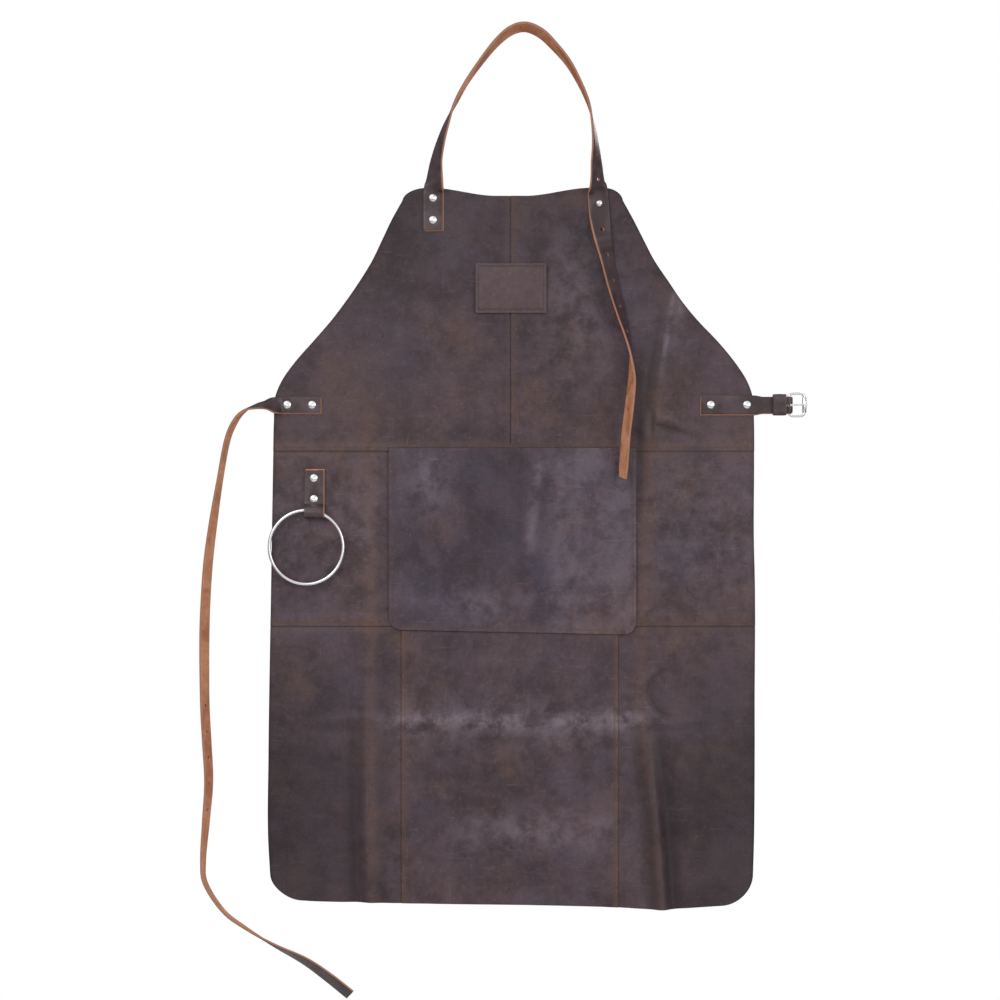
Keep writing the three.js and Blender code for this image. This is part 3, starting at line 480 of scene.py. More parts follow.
def shades(x, z):
    """The three tones of the panels' leather at x, z, each from 0 to 1. Rust is the leather's own colour
    along folds and seams; the pale tone is real wear and painted highlight on the raised sides of creases;
    shade is painted shade in hollows, beside folds, along the cut edges, down the skirt's lower sides and
    over the bib's top and left. They follow the folds and creases of drape."""
    rust = 0.04 + 0.50 * ridge(x - flowing(z, FOLD_LEFT) - 0.003, 0.008) * smooth_step(-z, 0.36, 0.55)
    rust += 0.45 * ridge(x - flowing(z, FOLD_RIGHT) + 0.006, 0.010) * smooth_step(-z, 0.40, 0.50)
    rust += 0.20 * ridge(z + 0.50, 0.05) * smooth_step(abs(x), 0.05, 0.12)
    rust += 0.15 * ridge(x - 0.19, 0.03) * ridge(z + 0.50, 0.03)
    rust += 0.45 * ridge(z - UPPER_SEAM - 0.003, 0.006) + 0.55 * ridge(z - LOWER_SEAM - 0.003, 0.006)
    rust += 0.55 * ridge(x - LEFT_SEAM - 0.002, 0.005) * smooth_step(-z, 0.75, 0.77)
    rust += 0.55 * ridge(x - RIGHT_SEAM + 0.002, 0.005) * smooth_step(-z, 0.75, 0.77)
    rust += 0.45 * ridge(x - CENTRE_SEAM - 0.002, 0.005) * smooth_step(z, -0.54, -0.52)
    # pale wear: real wear along the creases, with painted highlights on their raised sides
    wear_and_highlight = 0.40 * ridge(z + 0.880, 0.011) * smooth_step(0.19 - abs(x), 0, 0.03)
    wear_and_highlight += 0.20 * ridge(z + 0.880, 0.030) * smooth_step(0.17 - abs(x), 0, 0.03)
    wear_and_highlight += 0.26 * ridge(x - 0.085, 0.05) * ridge(z + 0.33, 0.09)
    wear_and_highlight += 0.16 * ridge(z + 0.63, 0.09) * smooth_step(abs(x), 0.15, 0.19)
    # painted highlight on the raised side of the kink and the hooked crease
    wear_and_highlight += 0.18 * kink(x, z, 0.011, 0.006) + 0.16 * hook(x, z, 0.038, 0.005)
    pulled = x - flowing(z, ARMHOLE_CREASE)
    wear_and_highlight += 0.60 * ridge(pulled, 0.0024) * smooth_step(-z, 0.32, 0.36) * smooth_step(z, -0.46, -0.42)
    wear_and_highlight += 0.30 * ridge(pulled - 0.010, 0.009) * ridge(z + 0.36, 0.04)
    wear_and_highlight += 0.28 * ridge(z + 1.02, 0.022) * smooth_step(0.13 - abs(x - 0.03), 0, 0.06)
    wear_and_highlight += 0.12 * ridge(x - flowing(z, FOLD_LEFT) - 0.026, 0.010) * smooth_step(-z, 0.98, 1.06)
    # painted shade: dark bands beside the folds, in the kink and hook, on the bib's left and top, down the
    # skirt's lower sides, and a dark outline along the cut edges
    shade = 0.50 * ridge(x - flowing(z, FOLD_LEFT) + 0.020, 0.011) * smooth_step(-z, 0.80, 1.0)
    shade += 0.30 * ridge(x - flowing(z, FOLD_LEFT) - 0.020, 0.014) * smooth_step(-z, 0.70, 0.85)
    shade += 0.56 * smooth_step(-z, 0.84, 0.93) * ridge(x - flowing(z, FOLD_RIGHT) - 0.015, 0.011)
    shade += 0.42 * smooth_step(-z, 0.84, 0.93) * ridge(x - flowing(z, FOLD_RIGHT) + 0.013, 0.009)
    shade += 0.34 * ridge(pulled + 0.012, 0.008) * smooth_step(-z, 0.35, 0.41) * smooth_step(z, -0.56, -0.50)
    shade += 0.30 * ridge(x - 0.162, 0.004) * smooth_step(-z, 0.42, 0.46) * smooth_step(z, -0.66, -0.60)
    shade += 0.60 * kink(x, z, 0.0, 0.0028) + 0.30 * hook(x, z, 0.030, 0.0026)
    shade += 0.10 * smooth_step(-x, 0.09, 0.14) * smooth_step(z, -0.56, -0.48)
    shade += 0.48 * smooth_step(abs(x), 0.16, 0.25) * smooth_step(-z, 0.74, 0.97)
    shade += 0.24 * smooth_step(z, -0.40, -0.23)
    shade += 0.55 * ridge(np.minimum(x - left_edge(z), right_edge(z) - x), 0.0022)
    return np.clip(rust, 0, 1), np.clip(wear_and_highlight, 0, 1), np.clip(shade, 0, 1)


def leather_panel(node_name, x, z, aside, keep=None):
    """Panel of the given grid of places (rows from the top down); aside is how far it stands to the back. It
    hangs from the apron's body."""
    z = z + hem_drop(x) * smooth_step(HEM + 0.05 - z, 0, 0.05)
    z = z - top_dip(x) * smooth_step(z, BIB_TOP - 0.06, BIB_TOP)
    front = np.stack([x + MIDDLE, FACE_Y + aside - drape(x, z), z], 2)
    back = front + [0, LEATHER, 0]
    piece, used = shell(node_name.replace("_panel", "_leather"), front, back, keep)
    for name, values in zip(("rust", "wear_and_highlight", "shade"), shades(x, z)):
        paint(piece, used, name, values)
    piece.data.materials.append(dark_leather)
    round_rims(piece, 0.0004)
    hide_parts(node_name)
    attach(piece, "apron")
    return piece


# A lap's upper leather stands this far to the front, the lower this far to the back.
PROUD, SUNK = 0.0010, 0.0013
RAMP = 0.008                    # over this width
BARE = LAP + 0.001              # the upright laps stop this far from a crossing seam


def corner_rows(start, height):
    """Places over a rounded corner's height, closer together towards its tangent end at start + height."""
    return start + height * np.sin(np.linspace(0, np.pi / 2, 15))


def panel_rows(*stops):
    """Column of heights from the top down, one for each row."""
    return ladder([np.array([stop]) for stop in stops], GRID)[0]


bib_rows = np.concatenate([corner_rows(BIB_TOP - TOP_CORNER, TOP_CORNER)[::-1],
                           panel_rows(BIB_TOP - TOP_CORNER, UPPER_SEAM + BARE, UPPER_SEAM)[1:]])
waist_rows = panel_rows(UPPER_SEAM + LAP, UPPER_SEAM, LOWER_SEAM)
skirt_rows = np.concatenate([panel_rows(LOWER_SEAM + LAP, LOWER_SEAM, LOWER_SEAM - BARE,
                                        HEM + HEM_CORNER)[:-1],
                             corner_rows(HEM + HEM_CORNER, -HEM_CORNER)])

bottom_lap = smooth_step(-bib_rows[:, None], -(UPPER_SEAM + RAMP + 0.004), -(UPPER_SEAM + 0.004))
x = ladder([left_edge(bib_rows), 0 * bib_rows + CENTRE_SEAM, 0 * bib_rows + CENTRE_SEAM + LAP], GRID)
z = bib_rows[:, None] + 0 * x
behind = smooth_step(x, CENTRE_SEAM - RAMP, CENTRE_SEAM)
keep = ~((x[1:, 1:] > CENTRE_SEAM + 0.0001) & (z[1:, 1:] < UPPER_SEAM + BARE - 0.0001))
leather_panel("bib_left_panel", x, z, SUNK * behind * (1 - bottom_lap) - PROUD * bottom_lap,
              keep)
x = ladder([0 * bib_rows + CENTRE_SEAM, right_edge(bib_rows)], GRID)
z = bib_rows[:, None] + 0 * x
over = np.maximum(smooth_step(-x, -(CENTRE_SEAM + LAP + RAMP), -(CENTRE_SEAM + LAP)), bottom_lap)
leather_panel("bib_right_panel", x, z, -PROUD * over)

x = ladder([left_edge(waist_rows), 0 * waist_rows, right_edge(waist_rows)], GRID)
z = waist_rows[:, None] + 0 * x
behind = smooth_step(z, UPPER_SEAM - RAMP, UPPER_SEAM)
over = smooth_step(-z, -(LOWER_SEAM + LAP + RAMP), -(LOWER_SEAM + LAP))
leather_panel("waist_panel", x, z, SUNK * behind - PROUD * over)

behind = smooth_step(skirt_rows[:, None], LOWER_SEAM - RAMP, LOWER_SEAM)
flat = 0 * skirt_rows
x = ladder([left_edge(skirt_rows), flat + LEFT_SEAM, flat + LEFT_SEAM + LAP], GRID)
z = skirt_rows[:, None] + 0 * x
under = smooth_step(x, LEFT_SEAM - RAMP, LEFT_SEAM)
keep = ~((x[1:, 1:] > LEFT_SEAM + 0.0001) & (z[:-1, 1:] > LOWER_SEAM - BARE + 0.0001))
leather_panel("skirt_left_panel", x, z, SUNK * np.maximum(behind, under), keep)
x = ladder([flat + LEFT_SEAM, flat, flat + RIGHT_SEAM], GRID)
z = skirt_rows[:, None] + 0 * x
over = np.maximum(smooth_step(-x, -(LEFT_SEAM + LAP + RAMP), -(LEFT_SEAM + LAP)),
                  smooth_step(x, RIGHT_SEAM - LAP - RAMP, RIGHT_SEAM - LAP))
leather_panel("skirt_centre_panel", x, z, SUNK * behind - PROUD * over * (1 - behind))
x = ladder([flat + RIGHT_SEAM - LAP, flat + RIGHT_SEAM, right_edge(skirt_rows)], GRID)
z = skirt_rows[:, None] + 0 * x
under = smooth_step(-x, -(RIGHT_SEAM + RAMP), -RIGHT_SEAM)
keep = ~((x[1:, :-1] < RIGHT_SEAM - 0.0001) & (z[:-1, 1:] > LOWER_SEAM - BARE + 0.0001))
leather_panel("skirt_right_panel", x, z, SUNK * np.maximum(behind, under),
              keep)


# ---- Neck strap ----
# One 24 mm strap of 3 mm tan-cored leather, dark on its grain side. Riveted to the bib at the left, it
# passes over the neck, twisting on the way, buttons on to the stud at the right and hangs in front of the
# bib by its free end.
STRAP_THICK = 0.003
ON_FACE = FACE_Y - 0.0003       # back of whatever lies on the panels


def route(points, spacing):
    """Curve through (x, y, z, turn) points in millimetres and degrees, from the apron's middle: uniform
    Catmull-Rom pieces, 0.5 * (2 b + (c - a) t + (2 a - 5 b + 4 c - d) t^2 + (3 b - a - 3 c + d) t^3), then
    resampled to even steps of length. Returns the places, in metres, and the turns, in radians."""
    knots = np.array(points, float)
    knots = np.vstack([2 * knots[0] - knots[1], knots, 2 * knots[-1] - knots[-2]])
    t = np.linspace(0, len(points) - 1, 60 * (len(points) - 1) + 1)
    i = np.minimum(t.astype(int), len(points) - 2)
    f = (t - i)[:, None]
    a, b, c, d = knots[i], knots[i + 1], knots[i + 2], knots[i + 3]
    dense = 0.5 * (2 * b + (c - a) * f + (2 * a - 5 * b + 4 * c - d) * f ** 2 + (3 * b - a - 3 * c + d)
                   * f ** 3)
    length = np.concatenate([[0], np.cumsum(np.linalg.norm(np.diff(dense[:, :3], axis=0), axis=1))])
    even = np.linspace(0, length[-1], int(round(length[-1] / 1000 / spacing)) + 1)
    placed = np.stack([np.interp(even, length, column) for column in dense.T], 1)
    centre = placed[:, :3] / 1000 + [MIDDLE, 0, 0]
    return centre, np.radians(placed[:, 3]), even / 1000


def framed(centre, turn):
    """Directions of a strap at each place: across its width, and face, out of its grain side. A turn of 90
    degrees faces the grain to the front, 0 to the left of the way it runs, and -90 to the back."""
    along = np.gradient(centre, axis=0)
    along /= np.linalg.norm(along, axis=1)[:, None]
    left = np.cross([0.0, -1.0, 0.0], along)
    left /= np.linalg.norm(left, axis=1)[:, None]
    ahead = np.cross(along, left)
    face = left * np.cos(turn)[:, None] + ahead * np.sin(turn)[:, None]
    return np.cross(face, along), face


def strap_mesh(name, centre, across, face, length, width, thick, columns, holes=(), pressed=(), slot=None,
               lean=0.0, tilt=0.0):
    """Closed strap. holes is a list of (distance along, distance across, radius): their cells are left out
    and the rim's points are moved on to the circle. The grain side is slightly crowned, dips near its edges
    and is pressed in at the rivets. slot is (distances along, half width), an oblong hole cut along the
    grid. lean is how far the flesh side stands out across and at the start, so that the cuts slope; tilt
    cuts the far end askew."""
    side = np.linspace(-0.5, 0.5, columns + 1)
    s = length[:, None] + 0 * side
    w = side * np.broadcast_to(width, length.shape)[:, None]
    keep = np.ones((len(length) - 1, columns), bool)
    cell_s = (s[1:, 1:] + s[:-1, :-1]) / 2
    cell_w = (w[1:, 1:] + w[:-1, :-1]) / 2
    for at, off, radius in holes:
        keep &= np.hypot(cell_s - at, cell_w - off) > radius
    if slot:
        keep &= ~((abs(cell_w) < slot[1]) & (cell_s > slot[0][0]) & (cell_s < slot[0][1]))
    inside = np.pad(keep, 1, mode="edge")
    count = (inside[1:, 1:].astype(int) + inside[:-1, 1:] + inside[1:, :-1] + inside[:-1, :-1])
    for at, off, radius in holes:
        away = np.hypot(s - at, w - off)
        rim = (count < 4) & (count > 0) & (away < 2 * radius)
        pull = np.where(rim, radius / np.maximum(away, 1e-6), 1)
        s, w = at + (s - at) * pull, off + (w - off) * pull
    s = s - tilt * (side + 0.5) * smooth_step(length[:, None], length[-1] - 0.03, length[-1])
    step = np.clip((s - length[0]) / (length[-1] - length[0]) * (len(length) - 1), 0, len(length) - 1.000001)
    low = step.astype(int)
    part = (step - low)[..., None]
    middle, wide, out = (v[low] * (1 - part) + v[low + 1] * part for v in (centre, across, face))
    edge = np.clip(abs(w) / (np.broadcast_to(width, length.shape)[:, None] / 2), 0, 1)
    crown = 0.00022 * (1 - edge ** 2) - 0.0003 * smooth_step(edge, 0.86, 1.0)
    for at in pressed:
        crown = crown - 0.00045 * ridge(np.maximum(np.hypot(s - at, w) - 0.0045, 0), 0.0022)
    base = middle + wide * w[..., None]
    front = base + out * (thick / 2 + crown)[..., None]
    back = base - out * (thick / 2) + wide * (np.broadcast_to(lean, length.shape)[:, None, None])
    back[0] -= np.cross(across[0], face[0]) * abs(np.broadcast_to(lean, length.shape)[0])
    return shell(name, front, back, keep)


def strap_leather(name, deep, pale, flesh_deep, flesh_pale, edge_tone):
    """Strap leather: the grain side is dark with a soft shine, the flesh side and the cut edges are bare tan.
    Short fibres run along the flesh side, and the attribute along gives the distance along the strap."""
    made = bpy.data.materials.new(name)
    made.use_nodes = True
    tree = made.node_tree
    shader = tree.nodes["Principled BSDF"]
    place = node(tree, "ShaderNodeTexCoord").outputs["Object"]
    clouds = noise(tree, place, 26.0, 4, 0.6, 0.5)
    specks = noise(tree, place, 420.0, 3, 0.65)
    fine = noise(tree, place, 1300.0, 2, 0.6)
    grain_colour = mixed(tree, between(tree, clouds, 0.35, 0.65), deep, pale)
    grain_colour = mixed(tree, between(tree, specks, 0.60, 0.80, 0.0, 0.12), grain_colour,
                         srgb(150, 132, 132))
    flesh_colour = mixed(tree, between(tree, clouds, 0.36, 0.64), flesh_deep, flesh_pale)
    flesh_colour = mixed(tree, between(tree, specks, 0.30, 0.52, 0.38, 0.0), flesh_colour, srgb(128, 74, 48))
    layer = attribute(tree, "flesh")
    bare = mixed(tree, between(tree, specks, 0.35, 0.65, 0.0, 0.20), edge_tone, flesh_deep)
    colour = mixed(tree, between(tree, layer, 0.10, 0.22), grain_colour, bare)
    colour = mixed(tree, between(tree, layer, 0.80, 0.95), colour, flesh_colour)
    tree.links.new(colour, shader.inputs["Base Color"])
    tree.links.new(between(tree, layer, 0.1, 0.3, 0.40, 0.80), shader.inputs["Roughness"])
    height = maths(tree, "ADD", maths(tree, "MULTIPLY", specks, 0.8), maths(tree, "MULTIPLY", fine, 0.5))
    strength = between(tree, layer, 0.1, 0.3, 0.22, 0.55)
    bump = node(tree, "ShaderNodeBump", ("Strength", strength), ("Distance", 0.0005), ("Height", height))
    tree.links.new(bump.outputs[0], shader.inputs["Normal"])
    return made


dark_strap = strap_leather("strap_leather_dark", srgb(58, 41, 42), srgb(86, 69, 73), srgb(176, 112, 78),
                           srgb(214, 150, 112), srgb(168, 118, 92))


def nearest(centre, length, x, z):
    """Distance along a strap at which it passes nearest to x, z."""
    return float(length[np.argmin(np.hypot(centre[:, 0] - MIDDLE - x, centre[:, 2] - z))])


def finish_strap(piece, node_name):
    """What every strap has: its leather, softened cut edges, and its place on the apron's body."""
    piece.data.materials.append(dark_strap)
    round_rims(piece, 0.00045)
    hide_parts(node_name)
    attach(piece, "apron")


EDGE_LEAN = 0.0018              # slope of the cut edges where the grain side faces the front
STUD = (0.1095, -0.223)         # x from the middle, and z
NECK_RIVETS = [(-0.1015, -0.216), (-0.1015, -0.244)]
S = -3.8                        # the middle of a strap that lies flat on the front


def clear(surface, turn):
    """How far to the front the middle of the 24 mm strap is, turned this way and just clear of a surface,
    in mm."""
    lean = abs(math.cos(math.radians(turn)))
    return surface - lean * 12.8 - abs(math.sin(math.radians(turn))) * 1.5


neck_points = [
    (-101.5, S, -256.5, 90), (-101.5, S, -236, 90), (-101.5, S - 0.12, -219, 90),
    (-101.4, S - 0.55, -208.5, 89),
    (-100.3, -10.5, -197, 58), (-97.8, -4.5, -171.5, 36), (-92, -3.5, -146, 24), (-83.8, -3, -120.6, 13),
    (-73, -2.5, -95, -3), (-59.5, -2, -70, -5), (-42, -1, -44.5, -8), (-21.6, 0, -19, -13),
    (-2.5, 0, -3, -18),
    (16.5, 0, 1.5, -20), (35.6, 0, -6.5, -20), (52, 0, -22, -17), (70, -1, -43.5, -12), (85, -1.5, -70, -6.5),
    (96, -2, -96, -2), (101.8, -2.5, -122, 8), (104.8, -3.5, -146, 17), (106.2, -6, -171.5, 32),
    (107.5, -14, -197, 46), (108.5, S - 1.2, -211, 88), (109.5, S - 0.12, -223, 90),
    (110.2, S - 1.2, -235, 86),
    (113.2, clear(-3, 66), -258, 66), (119.4, clear(-3, 42), -293, 42), (127, clear(-3, 36), -326, 36),
    (135.6, clear(-3, 29), -358, 29), (144.5, clear(-3, 15), -391, 15), (149, clear(-3, 2), -415, 2),
    (150.7, clear(-3, -16), -446, -16), (147.5, clear(-8, -21), -480, -21),
    (143.5, clear(-11.5, -21), -512, -21),
    (141, clear(-11.5, -21), -542, -21), (139, clear(-11.5, -21), -573, -21)]


NECK_WIDTH = 0.024
centre, turn, length = route(neck_points, 0.00105)
across, face = framed(centre, turn)
at_stud = nearest(centre, length, *STUD)
holes = [(at_stud + k * 0.0335, 0.0, 0.0029) for k in range(-2, 9) if k != 0]
pressed = [nearest(centre, length, *place) for place in NECK_RIVETS]
seen = smooth_step(np.sin(turn), 0.5, 0.95)
width = NECK_WIDTH * (1 - 0.16 * smooth_step(length, length[-1] - 0.014, length[-1]))
neck_strap, used = strap_mesh("neck_strap_leather", centre, across, face, length, width, STRAP_THICK, 22,
                              holes, pressed, None, -EDGE_LEAN * seen, 0.003)
finish_strap(neck_strap, "neck_strap")


# ---- Waist strap ----
# A 20 mm strap riveted to the left of the waist. It twists over as it leaves the apron and hangs down
# beside it, flesh side to the front, then curls under the hem and twists back. Five holes near its free
# end.
W = S - 2
waist_points = [
    (-244.5, S, -478.5, 90), (-270, S, -478.5, 90), (-281, S - 0.1, -478.5, 90), (-293, S - 0.6, -478.5, 91),
    (-302, S - 6, -478.5, 110), (-313, S - 8, -478.5, 147), (-326, S - 4.5, -480.5, 165),
    (-340, W, -486, 181),
    (-352, W, -499, 191), (-362.6, W, -524.5, 192), (-372, W, -575.2, 193), (-380, W, -626, 201),
    (-386.5, W, -676.9, 206), (-390, W, -727.7, 207), (-391.5, W, -778.5, 208), (-391, W, -854.7, 205),
    (-388.5, W, -905.5, 205), (-386, W, -956.3, 203), (-389.5, W, -1007.1, 198), (-393, W, -1056, 190),
    (-390, W, -1085.8, 185), (-367, W, -1121, 181), (-338, W, -1143, 177), (-303, W, -1164, 166),
    (-264, W, -1184, 148), (-234, W, -1205, 140), (-206.5, W, -1227, 138)]


WAIST_WIDTH = 0.020
WAIST_RIVETS = [(-0.2865, -0.4785), (-0.255, -0.4785)]
centre, turn, length = route(waist_points, 0.00105)
across, face = framed(centre, turn)
holes = [(length[-1] - 0.330 - k * 0.033, 0.0, 0.002) for k in range(5)]
pressed = [nearest(centre, length, *place) for place in WAIST_RIVETS]
seen = smooth_step(np.sin(turn), 0.5, 0.95)
waist_strap, used = strap_mesh("waist_strap_leather", centre, across, face, length, WAIST_WIDTH,
                               STRAP_THICK, 20,
                               holes, pressed, None, EDGE_LEAN * seen)
finish_strap(waist_strap, "waist_strap")


# ---- Pocket and label ----
# Wide front pocket of the same leather, sewn down at its sides and bottom and standing open at the top, and a
# small smooth label patch sewn on the bib.
def rounded_grid(left, right, top, bottom, low_round, top_round, spacing):
    """Grid of x and z over a rectangle with rounded corners, rows from the top down. Rows bunch up over the
    corners, where a side stands in by r (1 - sqrt(1 - t^2)), t being the share of the corner's height r."""
    bend = np.sin(np.linspace(0, np.pi / 2, 12))
    rows = np.concatenate([top - top_round + top_round * bend[::-1],
                           ladder([np.array([top - top_round]), np.array([bottom + low_round])],
                                  spacing)[0][1:-1],
                           bottom + low_round - low_round * bend])
    up = np.clip((rows - top + top_round) / top_round, 0, 1)
    down = np.clip((bottom + low_round - rows) / low_round, 0, 1)
    inset = top_round * (1 - np.sqrt(1 - up ** 2)) + low_round * (1 - np.sqrt(1 - down ** 2))
    x = ladder([left + inset, right - inset], spacing)
    return x, rows[:, None] + 0 * x


pocket_low, pocket_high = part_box("front_pocket")
POCKET_LEFT = pocket_low.x - MIDDLE
POCKET_RIGHT = pocket_high.x - MIDDLE
POCKET_TOP = pocket_high.z
POCKET_BOTTOM = pocket_low.z
POCKET_ROOM = 0.0062            # depth behind the middle of the pocket
MARGIN = 0.008                  # flat sewn margin


def pocket_face(x, z):
    """How far the pocket's front stands out: it rises from the sewn margins, sags in soft upright folds and
    is pressed flat over the stitching."""
    inward = np.minimum(np.minimum(x - POCKET_LEFT, POCKET_RIGHT - x), z - POCKET_BOTTOM)
    rise = smooth_step(inward, MARGIN - 0.002, MARGIN + 0.028)
    puff = POCKET_ROOM * rise * (0.78 + 0.10 * np.sin(x * 21 + 0.8) + 0.05 * waves(x, z, 31, 5, 0.20, 0.06))
    puff -= 0.0022 * rise * ridge(x + 0.022 + 0.05 * (z + 0.64), 0.026) * smooth_step(z, -0.74, -0.62)
    puff += 0.0010 * rise * ridge(x - 0.027 - 0.10 * (z + 0.60), 0.008) * smooth_step(z, -0.71, -0.62)
    puff += 0.0012 * rise * ridge(z + 0.585 - 0.35 * (x + 0.10), 0.012) * ridge(x + 0.11, 0.035)
    return puff + 0.0002 * waves(x, z, 8, 7, 0.07, 0.02) + 0.8 * drape(x, z)


x, z = rounded_grid(POCKET_LEFT, POCKET_RIGHT, POCKET_TOP, POCKET_BOTTOM, 0.016, 0.0006, GRID)
z = z - 0.0032 * (x / 0.157) * smooth_step(-z, 0.70, 0.767)
front = np.stack([x + MIDDLE, ON_FACE - PROUD - LEATHER - pocket_face(x, z), z], 2)
pocket, used = shell("pocket_leather", front, front + [0, LEATHER, 0])
inward = np.minimum(np.minimum(x - POCKET_LEFT, POCKET_RIGHT - x), z - POCKET_BOTTOM)
# Rust along the sewn margins and mouth is the leather's own colour; the pale tone is real wear and painted
# highlight on the raised fold and bump; shade is painted shade in the hollow upright fold.
paint(pocket, used, "rust", 0.30 * ridge(inward, 0.006) + 0.15 * ridge(POCKET_TOP - z, 0.010)
      + 0.35 * ridge(x - 0.13, 0.05) * ridge(z + 0.75, 0.05))
paint(pocket, used, "wear_and_highlight", 0.30 * ridge(x + 0.105, 0.030) * ridge(z + 0.58, 0.045)
      + 0.34 * ridge(x - 0.027 - 0.10 * (z + 0.60), 0.006) * smooth_step(-z, 0.535, 0.56)
      * smooth_step(z, -0.69, -0.64)
      + 0.20 * smooth_step(x, 0.03, 0.06) + 0.28 * ridge(x + 0.04, 0.05) * ridge(z + 0.735, 0.022))
paint(pocket, used, "shade", 0.30 * smooth_step(x, -0.070, -0.050) * smooth_step(-x, -0.020, -0.008)
      * smooth_step(z, -0.72, -0.64))
pocket.data.materials.append(panel_leather("pocket_leather", srgb(54, 42, 50), srgb(82, 67, 77),
                                           srgb(74, 72, 88),
                                           srgb(90, 64, 58), 0.42))
round_rims(pocket, 0.0004)
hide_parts("front_pocket")
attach(pocket, "apron")

label_low, label_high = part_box("label_patch")
LABEL_BORDER = 0.004            # the pressed line and the stitching stand this far inside the edge
x, z = rounded_grid(label_low.x - MIDDLE, label_high.x - MIDDLE, label_high.z, label_low.z, 0.002, 0.002,
                    0.0009)
inward = np.minimum(np.minimum(x + MIDDLE - label_low.x, label_high.x - x - MIDDLE),
                    np.minimum(z - label_low.z, label_high.z - z))
swell = 0.0004 * smooth_step(inward, 0, 0.012) - 0.0005 * ridge(inward - LABEL_BORDER, 0.0009)
swell += 0.00012 * waves(x, z, 77, 6, 0.05, 0.015)
front = np.stack([x + MIDDLE, label_low.y - swell, z], 2)
back = np.stack([x + MIDDLE, label_high.y + 0 * x, z], 2)
label, used = shell("label_leather", front, back)
paint(label, used, "rust", 0.25 * ridge(inward, 0.0015))
paint(label, used, "wear_and_highlight", 0.05 + 0 * x)
# painted shade in the pressed border line
paint(label, used, "shade", 0.50 * ridge(inward - LABEL_BORDER, 0.0010))
label.data.materials.append(panel_leather("smooth_label_leather", srgb(82, 64, 66), srgb(88, 70, 72),
                                          srgb(84, 68, 72),
                                          srgb(94, 72, 70), 0.38))
round_rims(label, 0.0004)
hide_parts("label_patch")
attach(label, "apron")


# ---- Stitching ----
# Waxed brown thread, 0.8 mm thick, in stitches about 3 mm long at a pitch of 4 mm. Each stitch is a bent
# capsule whose ends dive into the leather. One mesh for each seam.
THREAD = 0.0004                 # half thickness of the thread
PITCH = 0.004

thread_paint = bpy.data.materials.new("waxed_thread")
thread_paint.use_nodes = True
tree = thread_paint.node_tree
shader = tree.nodes["Principled BSDF"]
place = node(tree, "ShaderNodeTexCoord").outputs["Object"]
fibre = noise(tree, place, 900.0, 2, 0.6)
tree.links.new(mixed(tree, between(tree, fibre, 0.3, 0.7), srgb(84, 60, 48), srgb(116, 86, 68)),
               shader.inputs["Base Color"])
shader.inputs["Roughness"].default_value = 0.7
bump = node(tree, "ShaderNodeBump", ("Strength", 0.4), ("Distance", 0.0003), ("Height", fibre))
tree.links.new(bump.outputs[0], shader.inputs["Normal"])


def stitches(name, node_name, corners, surface):
    """Row of stitches along straight lines through the (x, z) corners, lying on surface(x, z), a depth in y.
    Each is a tube of six rings of six points whose middle line sinks by 0.6 mm towards both ends."""
    corners = np.array(corners, float)
    spans = np.linalg.norm(np.diff(corners, axis=0), axis=1)
    total = spans.sum()
    at = (np.arange(int(total / PITCH)) + 0.5) * PITCH
    reach = np.concatenate([[0], np.cumsum(spans)])
    share = np.linspace(-1, 1, 6)
    ring = np.linspace(0, 2 * np.pi, 6, endpoint=False)
    s = np.clip(at[:, None] + share * 0.0016, 0, total)
    x = np.interp(s, reach, corners[:, 0])
    z = np.interp(s, reach, corners[:, 1])
    run = np.stack([x[:, -1] - x[:, 0], z[:, -1] - z[:, 0]], 1)
    run /= np.linalg.norm(run, axis=1)[:, None]
    depth = surface(x, z) - THREAD * 0.5 + 0.0007 * share ** 4
    girth = THREAD * np.sqrt(1 - 0.7 * share ** 4)
    side = girth[:, None] * np.cos(ring)
    out = girth[:, None] * np.sin(ring)
    points = np.stack([x[..., None] + MIDDLE - run[:, 1, None, None] * side,
                       depth[..., None] - out,
                       z[..., None] + run[:, 0, None, None] * side], -1)
    count = len(at)
    a = np.arange(5)[:, None] * 6 + np.arange(6)
    b = np.arange(5)[:, None] * 6 + (np.arange(6) + 1) % 6
    wall = np.stack([a, b, b + 6, a + 6], -1).reshape(-1, 4)
    starts = np.arange(count)[:, None] * 36
    faces = (wall[None] + starts[:, :, None]).reshape(-1, 4).tolist()
    faces += (np.arange(6)[::-1] + starts).tolist() + (np.arange(30, 36) + starts).tolist()
    mesh = bpy.data.meshes.new(name)
    mesh.from_pydata(points.reshape(-1, 3).tolist(), [], faces)
    mesh.polygons.foreach_set("use_smooth", np.ones(len(mesh.polygons), bool))
    mesh.materials.append(thread_paint)
    piece = bpy.data.objects.new(name, mesh)
    bpy.context.scene.collection.objects.link(piece)
    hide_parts(node_name)
    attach(piece, "apron")
    return piece


def panel_face(x, z):
    """Depth of the front of a lap's upper leather."""
    return FACE_Y - PROUD - drape(x, z)


